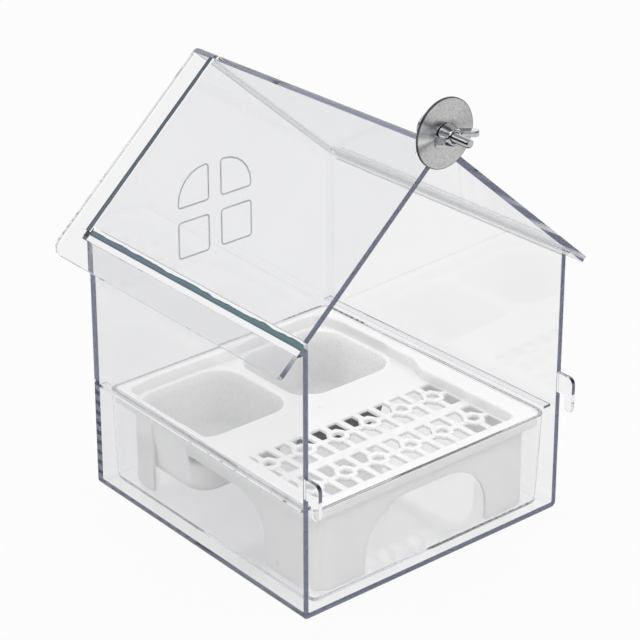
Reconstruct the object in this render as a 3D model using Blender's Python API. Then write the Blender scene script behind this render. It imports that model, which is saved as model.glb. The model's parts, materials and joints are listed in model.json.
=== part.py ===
"""Hang-on bird cage feeder: a clear house with a slide-out drawer and a lift-out feeding insert.

Metres, +Z up. The open front faces -Y and meets the cage. The origin is the middle of the underside.
"""
import math

import bmesh
import bpy
from mathutils import Matrix, Vector

# House shell
HOUSE_WIDTH = 0.1460
HOUSE_DEPTH = 0.1476
WALL_HEIGHT = 0.1254
GABLE_RISE = 0.0652
WALL_THICKNESS = 0.0026
FLOOR_THICKNESS = 0.0027
SIDE_DRAFT = 0.0036
ROOF_DROP = 0.0048
BASE_CORNER_RADIUS = 0.0025
BASE_INSIDE_RADIUS = 0.0008

# Drawer rails on the side walls
RAIL_WIDTH = 0.0040
RAIL_THICKNESS = 0.0014
RAIL_CLEARANCE = 0.0011
RAIL_FRONT_SETBACK = 0.0030

# Hanging hooks on the front edges of the side walls
HOOK_TOP_HEIGHT = 0.0673
HOOK_ROOT_HEIGHT = 0.0094
HOOK_REACH = 0.0092
HOOK_FINGER_WIDTH = 0.0046
HOOK_DROP = 0.0168
HOOK_CORNER_RADIUS = 0.0030
HOOK_THROAT_RADIUS = 0.0015
HOOK_TIP_RADIUS = 0.0022
HOOK_SIDE_INSET = 0.0003
HOOK_ROOT_DEPTH = 0.0020

# Window on the back wall, four panes outlined by shallow grooves
WINDOW_CENTRE_HEIGHT = 0.1168
PANE_WIDTH = 0.0178
PANE_HEIGHT = 0.0182
PANE_GAP = 0.0063
PANE_CORNER_RADIUS = 0.0020
PANE_GROOVE_WIDTH = 0.0008
PANE_GROOVE_DEPTH = 0.0004

# Roof
ROOF_THICKNESS = 0.0028
RIDGE_RADIUS = 0.0030
EAVE_OVERHANG = 0.0111
BACK_OVERHANG = 0.0110
ROOF_BACK_CORNER_RADIUS = 0.0060
ROOF_FRONT_CORNER_RADIUS = 0.0015
SEAT_RIB_WIDTH = 0.0024
SEAT_RIB_HEIGHT = 0.0025

# Clamp lug on the ridge
CLAMP_AXIS_RISE = 0.0042
LUG_RADIUS = 0.0066
LUG_THICKNESS = 0.0085
LUG_FOOT_REACH = 0.0018
LUG_FOOT_RISE = 0.0022
LUG_SINK = 0.0020

# Clamp hardware
SCREW_DIAMETER = 0.0040
SCREW_REACH = 0.0160
SCREW_TIP_CHAMFER = 0.0005
SCREW_HEAD_DIAMETER = 0.0078
SCREW_HEAD_HEIGHT = 0.0026
SCREW_HEAD_CROWN = 0.0009
RECESS_WIDTH = 0.0044
RECESS_SLOT = 0.0010
RECESS_DEPTH = 0.0012
WASHER_DIAMETER = 0.0302
WASHER_THICKNESS = 0.0012
WASHER_EDGE_RADIUS = 0.0003
NUT_BASE_DIAMETER = 0.0094
NUT_TOP_DIAMETER = 0.0076
NUT_HUB_HEIGHT = 0.0056
NUT_EDGE_RADIUS = 0.0005
WING_SPAN = 0.0228
WING_HEIGHT = 0.0086
WING_THICKNESS = 0.0024
WING_CORNER_RADIUS = 0.0009
BORE_CLEARANCE = 0.0003

# Drawer
DRAWER_TOP_HEIGHT = 0.0485
DRAWER_FRONT_SETBACK = 0.0010
DRAWER_BACK_CLEARANCE = 0.0006
DRAWER_SIDE_CLEARANCE = 0.0031
DRAWER_WALL = 0.0018
DRAWER_FLOOR = 0.0018
DRAWER_CORNER_RADIUS = 0.0060
DRAWER_DRAFT = 0.0018
DRAWER_FOOT_RADIUS = 0.0022

# Feeding insert
INSERT_WALL = 0.0016
INSERT_CLEARANCE = 0.0004
INSERT_RIM_BELOW_DRAWER = 0.0003
BORDER_HEIGHT = 0.0055
LIP_HEIGHT = 0.0053
BORDER_WIDTH_BY_CUPS = 0.0050
BORDER_WIDTH_BY_GRILLE = 0.0090
BORDER_WIDTH_FRONT = 0.0050
BORDER_WIDTH_BACK = 0.0030
BORDER_STEP_AHEAD = 0.0137
BORDER_STEP_LENGTH = 0.0100
RECESS_CORNER_RADIUS = 0.0060

# Cups
CUP_CORNER_RADIUS = 0.0125
CUP_MARGIN = 0.0010
CUP_SPACING = 0.0052
CUP_LENGTH = 0.0508
CUP_GROUND_CLEARANCE = 0.0048
CUP_DRAFT = 0.0040
CUP_FOOT_RADIUS = 0.0080

# Legs and arches
SKIRT_FRONT_INSET = 0.0024
SKIRT_CORNER_RADIUS = 0.0080
SKIRT_OVERLAP = 0.0060
FRONT_ARCH_WIDTH = 0.0700
FRONT_ARCH_DROP = 0.0051
FRONT_ARCH_RADIUS = 0.0240
SIDE_ARCH_FRONT = 0.0376
SIDE_ARCH_DROP = 0.0061
SIDE_ARCH_RADIUS = 0.0200
REAR_LEG_LENGTH = 0.0085
REAR_LEG_RETURN = 0.0050
LEG_HOLE_DIAMETER = 0.0024
LEG_HOLE_FROM_ARCH = 0.0076
LEG_HOLE_RISE = 0.0044

# Husk grille, two bands of slots with rings
GRILLE_SIDE_MARGIN = 0.0003
GRILLE_SLOT_WIDTH = 0.0063
GRILLE_SLOT_LENGTH = 0.0093
GRILLE_MIDDLE_RAIL = 0.0026
GRILLE_COLUMNS = 12
RING_RADIUS = 0.0055
RING_HOLE_RADIUS = 0.0030
RING_RAISE = 0.0006
RING_SINK = 0.0003
GATE_MARK_DIAMETER = 0.0030
GATE_MARK_DEPTH = 0.0008
GATE_MARK_AHEAD = 0.0097
GATE_MARK_SIDE = 0.0027

# Gaps and helpers
SEAT_GAP = 0.0003
CUT_OVERRUN = 0.0020
ARC_STEPS = 6
ROUND_STEPS = 48
SMALL_ROUND_STEPS = 24
HEXAGON_SIDES = 6

# Shares of the free length of the grille's field: ahead of the first band, and between the bands
BAND_SHARES = (0.191, 0.143)

# Shares of the wing's reach and height, hub side first
WING_SHARES = (
    (0.26, 0.08),
    (0.58, 0.12),
    (0.94, 0.52),
    (1.00, 0.82),
    (0.88, 1.00),
    (0.70, 0.94),
    (0.42, 0.58),
    (0.26, 0.56),
)

FRONT = -HOUSE_DEPTH / 2
BACK = HOUSE_DEPTH / 2
HALF_WIDTH = HOUSE_WIDTH / 2
DRAFT_SLOPE = SIDE_DRAFT / HOUSE_DEPTH
DROP_SLOPE = ROOF_DROP / HOUSE_DEPTH
PITCH = GABLE_RISE / HALF_WIDTH
PITCH_LENGTH = math.hypot(1, PITCH)
RAIL_BOTTOM = DRAWER_TOP_HEIGHT + RAIL_CLEARANCE
DRAWER_BOTTOM = FLOOR_THICKNESS + SEAT_GAP
INSERT_FOOT = DRAWER_BOTTOM + DRAWER_FLOOR + SEAT_GAP
INSERT_TOP = DRAWER_TOP_HEIGHT - INSERT_RIM_BELOW_DRAWER
PLATE_TOP = INSERT_TOP - BORDER_HEIGHT
PLATE_BOTTOM = PLATE_TOP - INSERT_WALL
CUP_BOTTOM = DRAWER_BOTTOM + DRAWER_FLOOR + CUP_GROUND_CLEARANCE + INSERT_WALL
RIDGE_TOP = WALL_HEIGHT + GABLE_RISE + ROOF_THICKNESS * PITCH_LENGTH
CLAMP_AXIS_HEIGHT = RIDGE_TOP + CLAMP_AXIS_RISE
WASHER_FRONT = FRONT - SEAT_GAP - WASHER_THICKNESS
NUT_BACK = WASHER_FRONT - SEAT_GAP
LUG_BACK = FRONT + LUG_THICKNESS


def half_width_at(y, inset=0.0):
    """Outer half width of the house at a depth, less an inset."""
    return HALF_WIDTH - DRAFT_SLOPE * (y - FRONT) - inset


def roof_under(x, y):
    """Height of the roof's underside."""
    return WALL_HEIGHT + GABLE_RISE - PITCH * abs(x) - DROP_SLOPE * (y - FRONT)


def roof_top(x, y):
    """Height of the roof's outer surface."""
    return roof_under(x, y) + ROOF_THICKNESS * PITCH_LENGTH


def material(name, colour, roughness, metallic=0.0, alpha=1.0):
    """A Principled material in the part's own colour."""
    made = bpy.data.materials.new(name)
    made.use_nodes = True
    shader = made.node_tree.nodes["Principled BSDF"]
    shader.inputs["Base Color"].default_value = (*colour, 1.0)
    shader.inputs["Roughness"].default_value = roughness
    shader.inputs["Metallic"].default_value = metallic
    shader.inputs["Alpha"].default_value = alpha
    made.diffuse_color = (*colour, alpha)
    return made


def rounded(corners, radii, steps=ARC_STEPS):
    """Closed outline through the corners, each turned with an arc of its own radius."""
    count = len(corners)
    points = []
    for index in range(count):
        here = Vector(corners[index])
        back = (Vector(corners[index - 1]) - here).normalized()
        ahead = (Vector(corners[(index + 1) % count]) - here).normalized()
        radius = radii[index]
        if radius == 0:
            points.append(here)
            continue
        half_angle = back.angle(ahead) / 2
        reach = radius / math.tan(half_angle)
        bisector = (back + ahead).normalized()
        centre = here + bisector * radius / math.sin(half_angle)
        start = here + back * reach - centre
        sweep = math.pi - 2 * half_angle
        if start.x * (ahead.y - back.y) - start.y * (ahead.x - back.x) < 0:
            sweep = -sweep
        for step in range(steps + 1):
            points.append(centre + Matrix.Rotation(sweep * step / steps, 2) @ start)
    return points


def polygon(centre, radius, sides):
    """Regular outline with a corner on the first axis."""
    points = []
    for index in range(sides):
        angle = 2 * math.pi * index / sides
        points.append(Vector(centre) + radius * Vector((math.cos(angle), math.sin(angle))))
    return points


def placed(point, along, level):
    """A point of an outline at a level of an axis: X takes (y, z), Y takes (x, z), Z takes (x, y)."""
    if along == "X":
        return Vector((level, point[0], point[1]))
    if along == "Y":
        return Vector((point[0], level, point[1]))
    return Vector((point[0], point[1], level))


def loft(mesh, rings):
    """Adds one closed body through rings of equally many points."""
    made = [[mesh.verts.new(point) for point in ring] for ring in rings]
    count = len(made[0])
    faces = [mesh.faces.new(made[0]), mesh.faces.new(made[-1])]
    for low, high in zip(made, made[1:]):
        for index in range(count):
            after = (index + 1) % count
            faces.append(mesh.faces.new((low[index], low[after], high[after], high[index])))
    bmesh.ops.recalc_face_normals(mesh, faces=faces)


def prism(mesh, outline, along, low, high):
    """Adds an outline pushed from one level to another along an axis."""
    loft(mesh, [[placed(point, along, level) for point in outline] for level in (low, high)])


def turned(mesh, profile, height, steps=ROUND_STEPS):
    """Adds a body turned round the clamp axis from (radius, y) points, from one end to the other."""
    rings = []
    for radius, y in profile:
        ring = polygon((0.0, height), radius, steps)
        rings.append([placed(point, "Y", y) for point in ring])
    loft(mesh, rings)


def made_object(name, mesh, finish, smooth_angle=None):
    """An object from a bmesh, with its material."""
    data = bpy.data.meshes.new(name)
    mesh.to_mesh(data)
    mesh.free()
    data.materials.append(finish)
    thing = bpy.data.objects.new(name, data)
    bpy.context.scene.collection.objects.link(thing)
    if smooth_angle is not None:
        data.shade_smooth()
        data.set_sharp_from_angle(angle=smooth_angle)
    return thing


def tool_object(name, mesh):
    """A hidden body that cuts or joins another."""
    data = bpy.data.meshes.new(name)
    mesh.to_mesh(data)
    mesh.free()
    thing = bpy.data.objects.new(name, data)
    bpy.context.scene.collection.objects.link(thing)
    thing.hide_render = True
    thing.display_type = "WIRE"
    return thing


def combine(target, tool, operation):
    """Adds a Boolean modifier with the exact solver."""
    step = target.modifiers.new(operation.lower() + "_" + tool.name, "BOOLEAN")
    step.object = tool
    step.operation = operation
    step.solver = "EXACT"


def set_origin(thing, place):
    """Moves an object's origin without moving its shape."""
    thing.data.transform(Matrix.Translation(-Vector(place)))
    thing.location = place


# House shell

def house_outline(y, inset, top_lift):
    """Pentagon of the house at a depth, as (x, z), with rounded base corners."""
    half = half_width_at(y, inset)
    floor = FLOOR_THICKNESS if inset > 0 else 0.0
    eave = roof_under(half, y) + top_lift
    ridge = roof_under(0.0, y) + top_lift
    corners = [(-half, floor), (half, floor), (half, eave), (0.0, ridge), (-half, eave)]
    radius = BASE_INSIDE_RADIUS if inset > 0 else BASE_CORNER_RADIUS
    return rounded(corners, [radius, radius, 0.0, 0.0, 0.0])


def build_shell(finish):
    """Floor, side walls and gable back wall, with rails and hooks."""
    bond = -SEAT_GAP * PITCH_LENGTH
    body = bmesh.new()
    loft(body, [[placed(p, "Y", y) for p in house_outline(y, 0.0, bond)] for y in (FRONT, BACK)])
    shell = made_object("house_shell", body, finish)

    room = bmesh.new()
    rings = []
    for y in (FRONT - CUT_OVERRUN, BACK - WALL_THICKNESS):
        rings.append([placed(p, "Y", y) for p in house_outline(y, WALL_THICKNESS, GABLE_RISE)])
    loft(room, rings)
    combine(shell, tool_object("shell_room", room), "DIFFERENCE")

    extras = bmesh.new()
    for side in (-1, 1):
        add_rail(extras, side)
        add_hook(extras, side)
    combine(shell, tool_object("shell_rails_and_hooks", extras), "UNION")
    combine(shell, build_window(), "DIFFERENCE")
    return shell


def add_rail(mesh, side):
    """Ledge along a side wall that keeps the drawer down."""
    start = FRONT + RAIL_FRONT_SETBACK
    end = BACK - WALL_THICKNESS / 2
    root = WALL_THICKNESS / 2
    outline = [
        (side * half_width_at(start, root), start),
        (side * half_width_at(end, root), end),
        (side * half_width_at(end, WALL_THICKNESS + RAIL_WIDTH), end),
        (side * half_width_at(start, WALL_THICKNESS + RAIL_WIDTH), start),
    ]
    prism(mesh, outline, "Z", RAIL_BOTTOM, RAIL_BOTTOM + RAIL_THICKNESS)


def add_hook(mesh, side):
    """Downward finger in the plane of a side wall, in front of its front edge."""
    top = HOOK_TOP_HEIGHT
    inner = FRONT - HOOK_REACH + HOOK_FINGER_WIDTH
    outer = FRONT - HOOK_REACH
    root = FRONT + HOOK_ROOT_DEPTH
    tip = top - HOOK_DROP
    underside = top - HOOK_ROOT_HEIGHT
    corners = [(root, top), (outer, top), (outer, tip)]
    corners += [(inner, tip), (inner, underside), (root, underside)]
    radii = [0.0, HOOK_CORNER_RADIUS, HOOK_TIP_RADIUS, HOOK_TIP_RADIUS, HOOK_THROAT_RADIUS, 0.0]
    near = side * (HALF_WIDTH - WALL_THICKNESS + HOOK_SIDE_INSET)
    far = side * (HALF_WIDTH - HOOK_SIDE_INSET)
    prism(mesh, rounded(corners, radii), "X", near, far)


def pane_outline(column, row, inset):
    """Outline of a window pane as (x, z), inset all round. The upper panes have one large outer arc."""
    near = column * (PANE_GAP / 2 + inset)
    far = column * (PANE_GAP / 2 + PANE_WIDTH - inset)
    low = WINDOW_CENTRE_HEIGHT + row * (PANE_GAP / 2 + inset)
    high = WINDOW_CENTRE_HEIGHT + row * (PANE_GAP / 2 + PANE_HEIGHT - inset)
    turn = PANE_CORNER_RADIUS - inset
    outer = PANE_WIDTH - PANE_CORNER_RADIUS - inset if row > 0 else turn
    return rounded([(near, low), (far, low), (far, high), (near, high)], [turn, turn, outer, turn])


def build_window():
    """Shallow outline grooves of four panes, on the outer face of the back wall."""
    grooves = bmesh.new()
    panes = bmesh.new()
    for column in (-1, 1):
        for row in (-1, 1):
            depth = PANE_GROOVE_DEPTH
            prism(grooves, pane_outline(column, row, 0.0), "Y", BACK - depth, BACK + CUT_OVERRUN)
            inside = pane_outline(column, row, PANE_GROOVE_WIDTH)
            prism(panes, inside, "Y", BACK - 2 * depth, BACK + 2 * CUT_OVERRUN)
    cutter = tool_object("window_grooves", grooves)
    combine(cutter, tool_object("window_panes", panes), "DIFFERENCE")
    return cutter


# Roof

def roof_ring(y):
    """Chevron section of the roof at a depth, as (x, z), rounded on top of the ridge."""
    edge = half_width_at(y) + EAVE_OVERHANG
    out = ROOF_THICKNESS * PITCH / PITCH_LENGTH
    up = ROOF_THICKNESS / PITCH_LENGTH
    low = roof_under(edge, y)
    corners = [
        (-edge, low),
        (0.0, roof_under(0.0, y)),
        (edge, low),
        (edge + out, low + up),
        (0.0, roof_top(0.0, y)),
        (-edge - out, low + up),
    ]
    return rounded(corners, [0.0, 0.0, 0.0, 0.0, RIDGE_RADIUS, 0.0])


def build_roof(finish):
    """Two slopes in one piece, with bonding ribs under the eaves and the clamp lug on the ridge."""
    end = BACK + BACK_OVERHANG
    body = bmesh.new()
    loft(body, [[placed(p, "Y", y) for p in roof_ring(y)] for y in (FRONT, end)])
    round_roof_corners(body, FRONT, ROOF_FRONT_CORNER_RADIUS)
    round_roof_corners(body, end, ROOF_BACK_CORNER_RADIUS)
    roof = made_object("roof", body, finish)

    extras = bmesh.new()
    for side in (-1, 1):
        add_seat_rib(extras, side)
    add_lug(extras)
    combine(roof, tool_object("roof_ribs_and_lug", extras), "UNION")

    bore = bmesh.new()
    radius = SCREW_DIAMETER / 2 + BORE_CLEARANCE
    hole = polygon((0.0, CLAMP_AXIS_HEIGHT), radius, SMALL_ROUND_STEPS)
    prism(bore, hole, "Y", FRONT - CUT_OVERRUN, LUG_BACK + CUT_OVERRUN)
    combine(roof, tool_object("lug_bore", bore), "DIFFERENCE")
    return roof


def round_roof_corners(mesh, y, radius):
    """Rounds the two eave corners at one end of the roof."""
    edges = []
    for edge in mesh.edges:
        ends = [vert.co for vert in edge.verts]
        at_end = all(abs(point.y - y) < SEAT_GAP for point in ends)
        at_eave = all(abs(point.x) > half_width_at(y) for point in ends)
        same_side = ends[0].x * ends[1].x > 0
        if at_end and at_eave and same_side:
            edges.append(edge)
    bmesh.ops.bevel(mesh, geom=edges, offset=radius, segments=ARC_STEPS, profile=0.5, affect="EDGES")


def add_seat_rib(mesh, side):
    """Three-cornered rib that seats the roof on the outer face of a side wall."""
    rings = []
    for y in (FRONT, BACK):
        wall = half_width_at(y, -SEAT_GAP)
        foot = wall + SEAT_RIB_WIDTH
        sink = ROOF_THICKNESS / 2
        rings.append([
            Vector((side * wall, y, roof_under(wall, y) - SEAT_RIB_HEIGHT)),
            Vector((side * foot, y, roof_under(foot, y))),
            Vector((side * foot, y, roof_under(foot, y) + sink)),
            Vector((side * wall, y, roof_under(wall, y) + sink)),
        ])
    loft(mesh, rings)


def add_lug(mesh):
    """Upright round-topped plate on the ridge at the front, wider at its foot."""
    half = LUG_RADIUS
    wide = LUG_RADIUS + LUG_FOOT_REACH
    neck = roof_top(half, LUG_BACK) + LUG_FOOT_RISE
    foot = roof_top(wide, LUG_BACK) - LUG_SINK
    ridge = roof_top(0.0, LUG_BACK) - LUG_SINK
    arc = []
    for step in range(SMALL_ROUND_STEPS + 1):
        angle = math.pi * step / SMALL_ROUND_STEPS
        arc.append(Vector((half * math.cos(angle), CLAMP_AXIS_HEIGHT + half * math.sin(angle))))
    base = [(-half, neck), (-wide, foot), (0.0, ridge), (wide, foot), (half, neck)]
    prism(mesh, arc + [Vector(point) for point in base], "Y", FRONT, LUG_BACK)


# Clamp hardware

def build_screw(finish):
    """Pan-head machine screw through the lug, with a cross recess in its head."""
    radius = SCREW_DIAMETER / 2
    head = SCREW_HEAD_DIAMETER / 2
    tip = FRONT - SCREW_REACH
    seat = LUG_BACK + SEAT_GAP
    end = seat + SCREW_HEAD_HEIGHT
    profile = [
        (radius - SCREW_TIP_CHAMFER, tip),
        (radius, tip + SCREW_TIP_CHAMFER),
        (radius, seat),
        (head, seat),
        (head, end - SCREW_HEAD_CROWN),
        (head - SCREW_HEAD_CROWN / 2, end - SCREW_HEAD_CROWN / 4),
        (head - SCREW_HEAD_CROWN * 2, end),
    ]
    body = bmesh.new()
    turned(body, profile, CLAMP_AXIS_HEIGHT, SMALL_ROUND_STEPS)
    screw = made_object("clamp_screw", body, finish, math.radians(40))

    slot = RECESS_SLOT / 2
    reach = RECESS_WIDTH / 2
    cross = [(-slot, -reach), (slot, -reach), (slot, -slot)]
    cross += [(reach, -slot), (reach, slot), (slot, slot)]
    cross += [(-x, -z) for x, z in cross]
    outline = [Vector((x, CLAMP_AXIS_HEIGHT + z)) for x, z in cross]
    recess = bmesh.new()
    prism(recess, outline, "Y", end - RECESS_DEPTH, end + CUT_OVERRUN)
    combine(screw, tool_object("screw_recess", recess), "DIFFERENCE")
    return screw


def build_washer(finish):
    """Large flat disc that presses the cage wires against the lug."""
    radius = WASHER_DIAMETER / 2
    back = WASHER_FRONT + WASHER_THICKNESS
    ease = WASHER_EDGE_RADIUS
    front = WASHER_FRONT
    profile = [(radius - ease, front), (radius, front + ease)]
    profile += [(radius, back - ease), (radius - ease, back)]
    body = bmesh.new()
    turned(body, profile, CLAMP_AXIS_HEIGHT)
    washer = made_object("clamp_washer", body, finish, math.radians(30))
    bore = bmesh.new()
    hole = polygon((0.0, CLAMP_AXIS_HEIGHT), SCREW_DIAMETER / 2 + BORE_CLEARANCE, SMALL_ROUND_STEPS)
    prism(bore, hole, "Y", WASHER_FRONT - CUT_OVERRUN, back + CUT_OVERRUN)
    combine(washer, tool_object("washer_bore", bore), "DIFFERENCE")
    return washer


def build_nut(finish):
    """Wing nut: a tapered hub with two raised wings."""
    base = NUT_BASE_DIAMETER / 2
    top = NUT_TOP_DIAMETER / 2
    front = NUT_BACK - NUT_HUB_HEIGHT
    ease = NUT_EDGE_RADIUS
    body = bmesh.new()
    profile = [(base, NUT_BACK), (base, NUT_BACK - ease), (top, front + ease), (top - ease, front)]
    turned(body, profile, CLAMP_AXIS_HEIGHT, SMALL_ROUND_STEPS)
    nut = made_object("wing_nut", body, finish, math.radians(40))

    wings = bmesh.new()
    half = WING_THICKNESS / 2
    for side in (-1, 1):
        corners = [(side * WING_SPAN / 2 * u, NUT_BACK - WING_HEIGHT * v) for u, v in WING_SHARES]
        radii = [WING_CORNER_RADIUS] * len(corners)
        radii[0] = 0.0
        radii[-1] = 0.0
        outline = rounded(corners, radii, ARC_STEPS // 2)
        prism(wings, outline, "Z", CLAMP_AXIS_HEIGHT - half, CLAMP_AXIS_HEIGHT + half)
    combine(nut, tool_object("nut_wings", wings), "UNION")

    bore = bmesh.new()
    hole = polygon((0.0, CLAMP_AXIS_HEIGHT), SCREW_DIAMETER / 2 + BORE_CLEARANCE, SMALL_ROUND_STEPS)
    prism(bore, hole, "Y", front - CUT_OVERRUN, NUT_BACK + CUT_OVERRUN)
    combine(nut, tool_object("nut_bore", bore), "DIFFERENCE")
    return nut


# Drawer

def drawer_outline(inset):
    """Plan of the drawer as (x, y), narrower to the back, inset all round."""
    front = FRONT + DRAWER_FRONT_SETBACK + inset
    back = BACK - WALL_THICKNESS - DRAWER_BACK_CLEARANCE - inset
    side = WALL_THICKNESS + DRAWER_SIDE_CLEARANCE + inset
    wide = half_width_at(front, side)
    narrow = half_width_at(back, side)
    corners = [(-wide, front), (wide, front), (narrow, back), (-narrow, back)]
    radius = max(DRAWER_CORNER_RADIUS - inset, DRAWER_WALL)
    return rounded(corners, [radius] * 4)


def drawer_draft(z):
    """Inset of the drawer's outer face at a height."""
    return DRAWER_DRAFT * (DRAWER_TOP_HEIGHT - z) / (DRAWER_TOP_HEIGHT - DRAWER_BOTTOM)


def tray_rings(bottom, top, extra, foot):
    """Rings of a tray shape with a rounded foot, from below to above."""
    rings = []
    for step in range(ARC_STEPS // 2 + 1):
        angle = math.pi / 2 * step / (ARC_STEPS // 2)
        z = bottom + foot * (1 - math.cos(angle))
        inset = extra + drawer_draft(z) + foot * (1 - math.sin(angle))
        rings.append([placed(p, "Z", z) for p in drawer_outline(inset)])
    rings.append([placed(p, "Z", top) for p in drawer_outline(extra + drawer_draft(top))])
    return rings


def build_drawer(finish):
    """Open tray with rounded corners that slides under the rails."""
    body = bmesh.new()
    top = DRAWER_TOP_HEIGHT
    loft(body, tray_rings(DRAWER_BOTTOM, top, 0.0, DRAWER_FOOT_RADIUS))
    drawer = made_object("feeding_drawer", body, finish, math.radians(30))
    hollow = bmesh.new()
    floor = DRAWER_BOTTOM + DRAWER_FLOOR
    loft(hollow, tray_rings(floor, top + CUT_OVERRUN, DRAWER_WALL, DRAWER_FOOT_RADIUS / 2))
    combine(drawer, tool_object("drawer_hollow", hollow), "DIFFERENCE")
    return drawer


# Feeding insert

def rim_inset():
    """How far the insert's lip lies inside the drawer's outer plan."""
    return DRAWER_WALL + INSERT_CLEARANCE + drawer_draft(INSERT_TOP - LIP_HEIGHT)


def rim_outline(inset):
    """Outer plan of the insert at its lip, which follows the drawer's inside."""
    return drawer_outline(rim_inset() + inset)


def rim_half_width(y, inset):
    """Half width of the insert's rim at a depth."""
    return half_width_at(y, WALL_THICKNESS + DRAWER_SIDE_CLEARANCE + rim_inset() + inset)


def rim_front():
    """Depth of the insert's front face."""
    return FRONT + DRAWER_FRONT_SETBACK + rim_inset()


def rim_back():
    """Depth of the insert's back face."""
    return BACK - WALL_THICKNESS - DRAWER_BACK_CLEARANCE - rim_inset()


def recess_outline(grow):
    """Plan of the sunk area inside the raised border, wider beside the cups."""
    front = rim_front() + BORDER_WIDTH_FRONT - grow
    back = rim_back() - BORDER_WIDTH_BACK + grow
    step = cup_front() - BORDER_STEP_AHEAD
    ends = (step - BORDER_STEP_LENGTH / 2, step + BORDER_STEP_LENGTH / 2)
    places = [
        (rim_half_width(front, BORDER_WIDTH_BY_GRILLE - grow), front),
        (rim_half_width(ends[0], BORDER_WIDTH_BY_GRILLE - grow), ends[0]),
        (rim_half_width(ends[1], BORDER_WIDTH_BY_CUPS - grow), ends[1]),
        (rim_half_width(back, BORDER_WIDTH_BY_CUPS - grow), back),
    ]
    corners = places + [(-x, y) for x, y in reversed(places)]
    turn = RECESS_CORNER_RADIUS
    soft = BORDER_STEP_LENGTH / 2
    return rounded(corners, [turn, soft, soft, turn, turn, soft, soft, turn])


def cup_back():
    """Depth of the back of the cups' mouths."""
    return rim_back() - BORDER_WIDTH_BACK - CUP_MARGIN


def cup_front():
    """Depth of the front of the cups' mouths."""
    return cup_back() - CUP_LENGTH


def cup_corners(side, inset):
    """Corners of a cup's plan as (x, y), going round, for the side at -X or +X."""
    front = cup_front() + inset
    back = cup_back() - inset
    near = CUP_SPACING / 2 + inset
    margin = BORDER_WIDTH_BY_CUPS + CUP_MARGIN + inset
    return [
        (side * near, front),
        (side * rim_half_width(front, margin), front),
        (side * rim_half_width(back, margin), back),
        (side * near, back),
    ]


def cup_rings(side, bottom, top, grow, foot):
    """Rings of a cup from its rounded bottom to its mouth."""
    rings = []
    for step in range(ARC_STEPS + 1):
        angle = math.pi / 2 * step / ARC_STEPS
        z = bottom + foot * (1 - math.cos(angle))
        inset = cup_draft(z) + foot * (1 - math.sin(angle)) - grow
        rings.append(cup_ring(side, inset, z))
    rings.append(cup_ring(side, cup_draft(top) - grow, top))
    return rings


def cup_draft(z):
    """Inset of a cup's wall at a height, from its mouth down."""
    return CUP_DRAFT * (PLATE_TOP - z) / (PLATE_TOP - CUP_BOTTOM)


def cup_ring(side, inset, z):
    """One level ring of a cup."""
    radius = max(CUP_CORNER_RADIUS - inset / 2, INSERT_WALL)
    return [placed(p, "Z", z) for p in rounded(cup_corners(side, inset), [radius] * 4)]


def build_insert(finish):
    """White moulding: border, plate, two cups, arched skirt, legs and grille."""
    body = bmesh.new()
    prism(body, rim_outline(0.0), "Z", PLATE_BOTTOM, INSERT_TOP)
    insert = made_object("feeding_insert", body, finish, math.radians(30))
    combine(insert, border_underside(), "DIFFERENCE")
    combine(insert, build_skirt(), "UNION")

    bodies = bmesh.new()
    top = PLATE_TOP - INSERT_WALL / 2
    foot = CUP_FOOT_RADIUS + INSERT_WALL
    for side in (-1, 1):
        loft(bodies, cup_rings(side, CUP_BOTTOM - INSERT_WALL, top, INSERT_WALL, foot))
    cups = tool_object("cup_bodies", bodies)
    combine(insert, cups, "UNION")
    combine(insert, build_rear_legs(), "UNION")

    recess = bmesh.new()
    prism(recess, recess_outline(0.0), "Z", PLATE_TOP, INSERT_TOP + CUT_OVERRUN)
    combine(insert, tool_object("plate_recess", recess), "DIFFERENCE")

    hollows = bmesh.new()
    for side in (-1, 1):
        loft(hollows, cup_rings(side, CUP_BOTTOM, PLATE_TOP + CUT_OVERRUN, 0.0, CUP_FOOT_RADIUS))
    combine(insert, tool_object("cup_hollows", hollows), "DIFFERENCE")

    combine(insert, grille_slots(), "DIFFERENCE")
    combine(insert, grille_rings(), "UNION")
    combine(insert, grille_ring_holes(), "DIFFERENCE")
    return insert


def border_underside():
    """Cutter for the space under the raised border, which leaves a lip round its edge."""
    lip = INSERT_TOP - LIP_HEIGHT
    steps = [
        (PLATE_BOTTOM - CUT_OVERRUN, -CUT_OVERRUN),
        (lip, -CUT_OVERRUN),
        (lip, INSERT_WALL),
        (INSERT_TOP - INSERT_WALL, INSERT_WALL),
    ]
    space = bmesh.new()
    loft(space, [[placed(p, "Z", z) for p in rim_outline(inset)] for z, inset in steps])
    cutter = tool_object("border_space", space)
    keep = bmesh.new()
    prism(keep, recess_outline(INSERT_WALL), "Z", PLATE_BOTTOM, INSERT_TOP + CUT_OVERRUN)
    combine(cutter, tool_object("border_kept", keep), "DIFFERENCE")
    return cutter


def skirt_front():
    """Depth of the skirt's front face."""
    return rim_front() + SKIRT_FRONT_INSET


def skirt_outline(inset, back):
    """Plan of the skirt's outer or inner face, flush with the cups' sides and open towards them."""
    front = skirt_front() + inset
    margin = BORDER_WIDTH_BY_CUPS + CUP_MARGIN - INSERT_WALL + inset
    wide = rim_half_width(front, margin)
    narrow = rim_half_width(back, margin)
    radius = SKIRT_CORNER_RADIUS - inset
    corners = [(-wide, front), (wide, front), (narrow, back), (-narrow, back)]
    return rounded(corners, [radius, radius, 0.0, 0.0])


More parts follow.
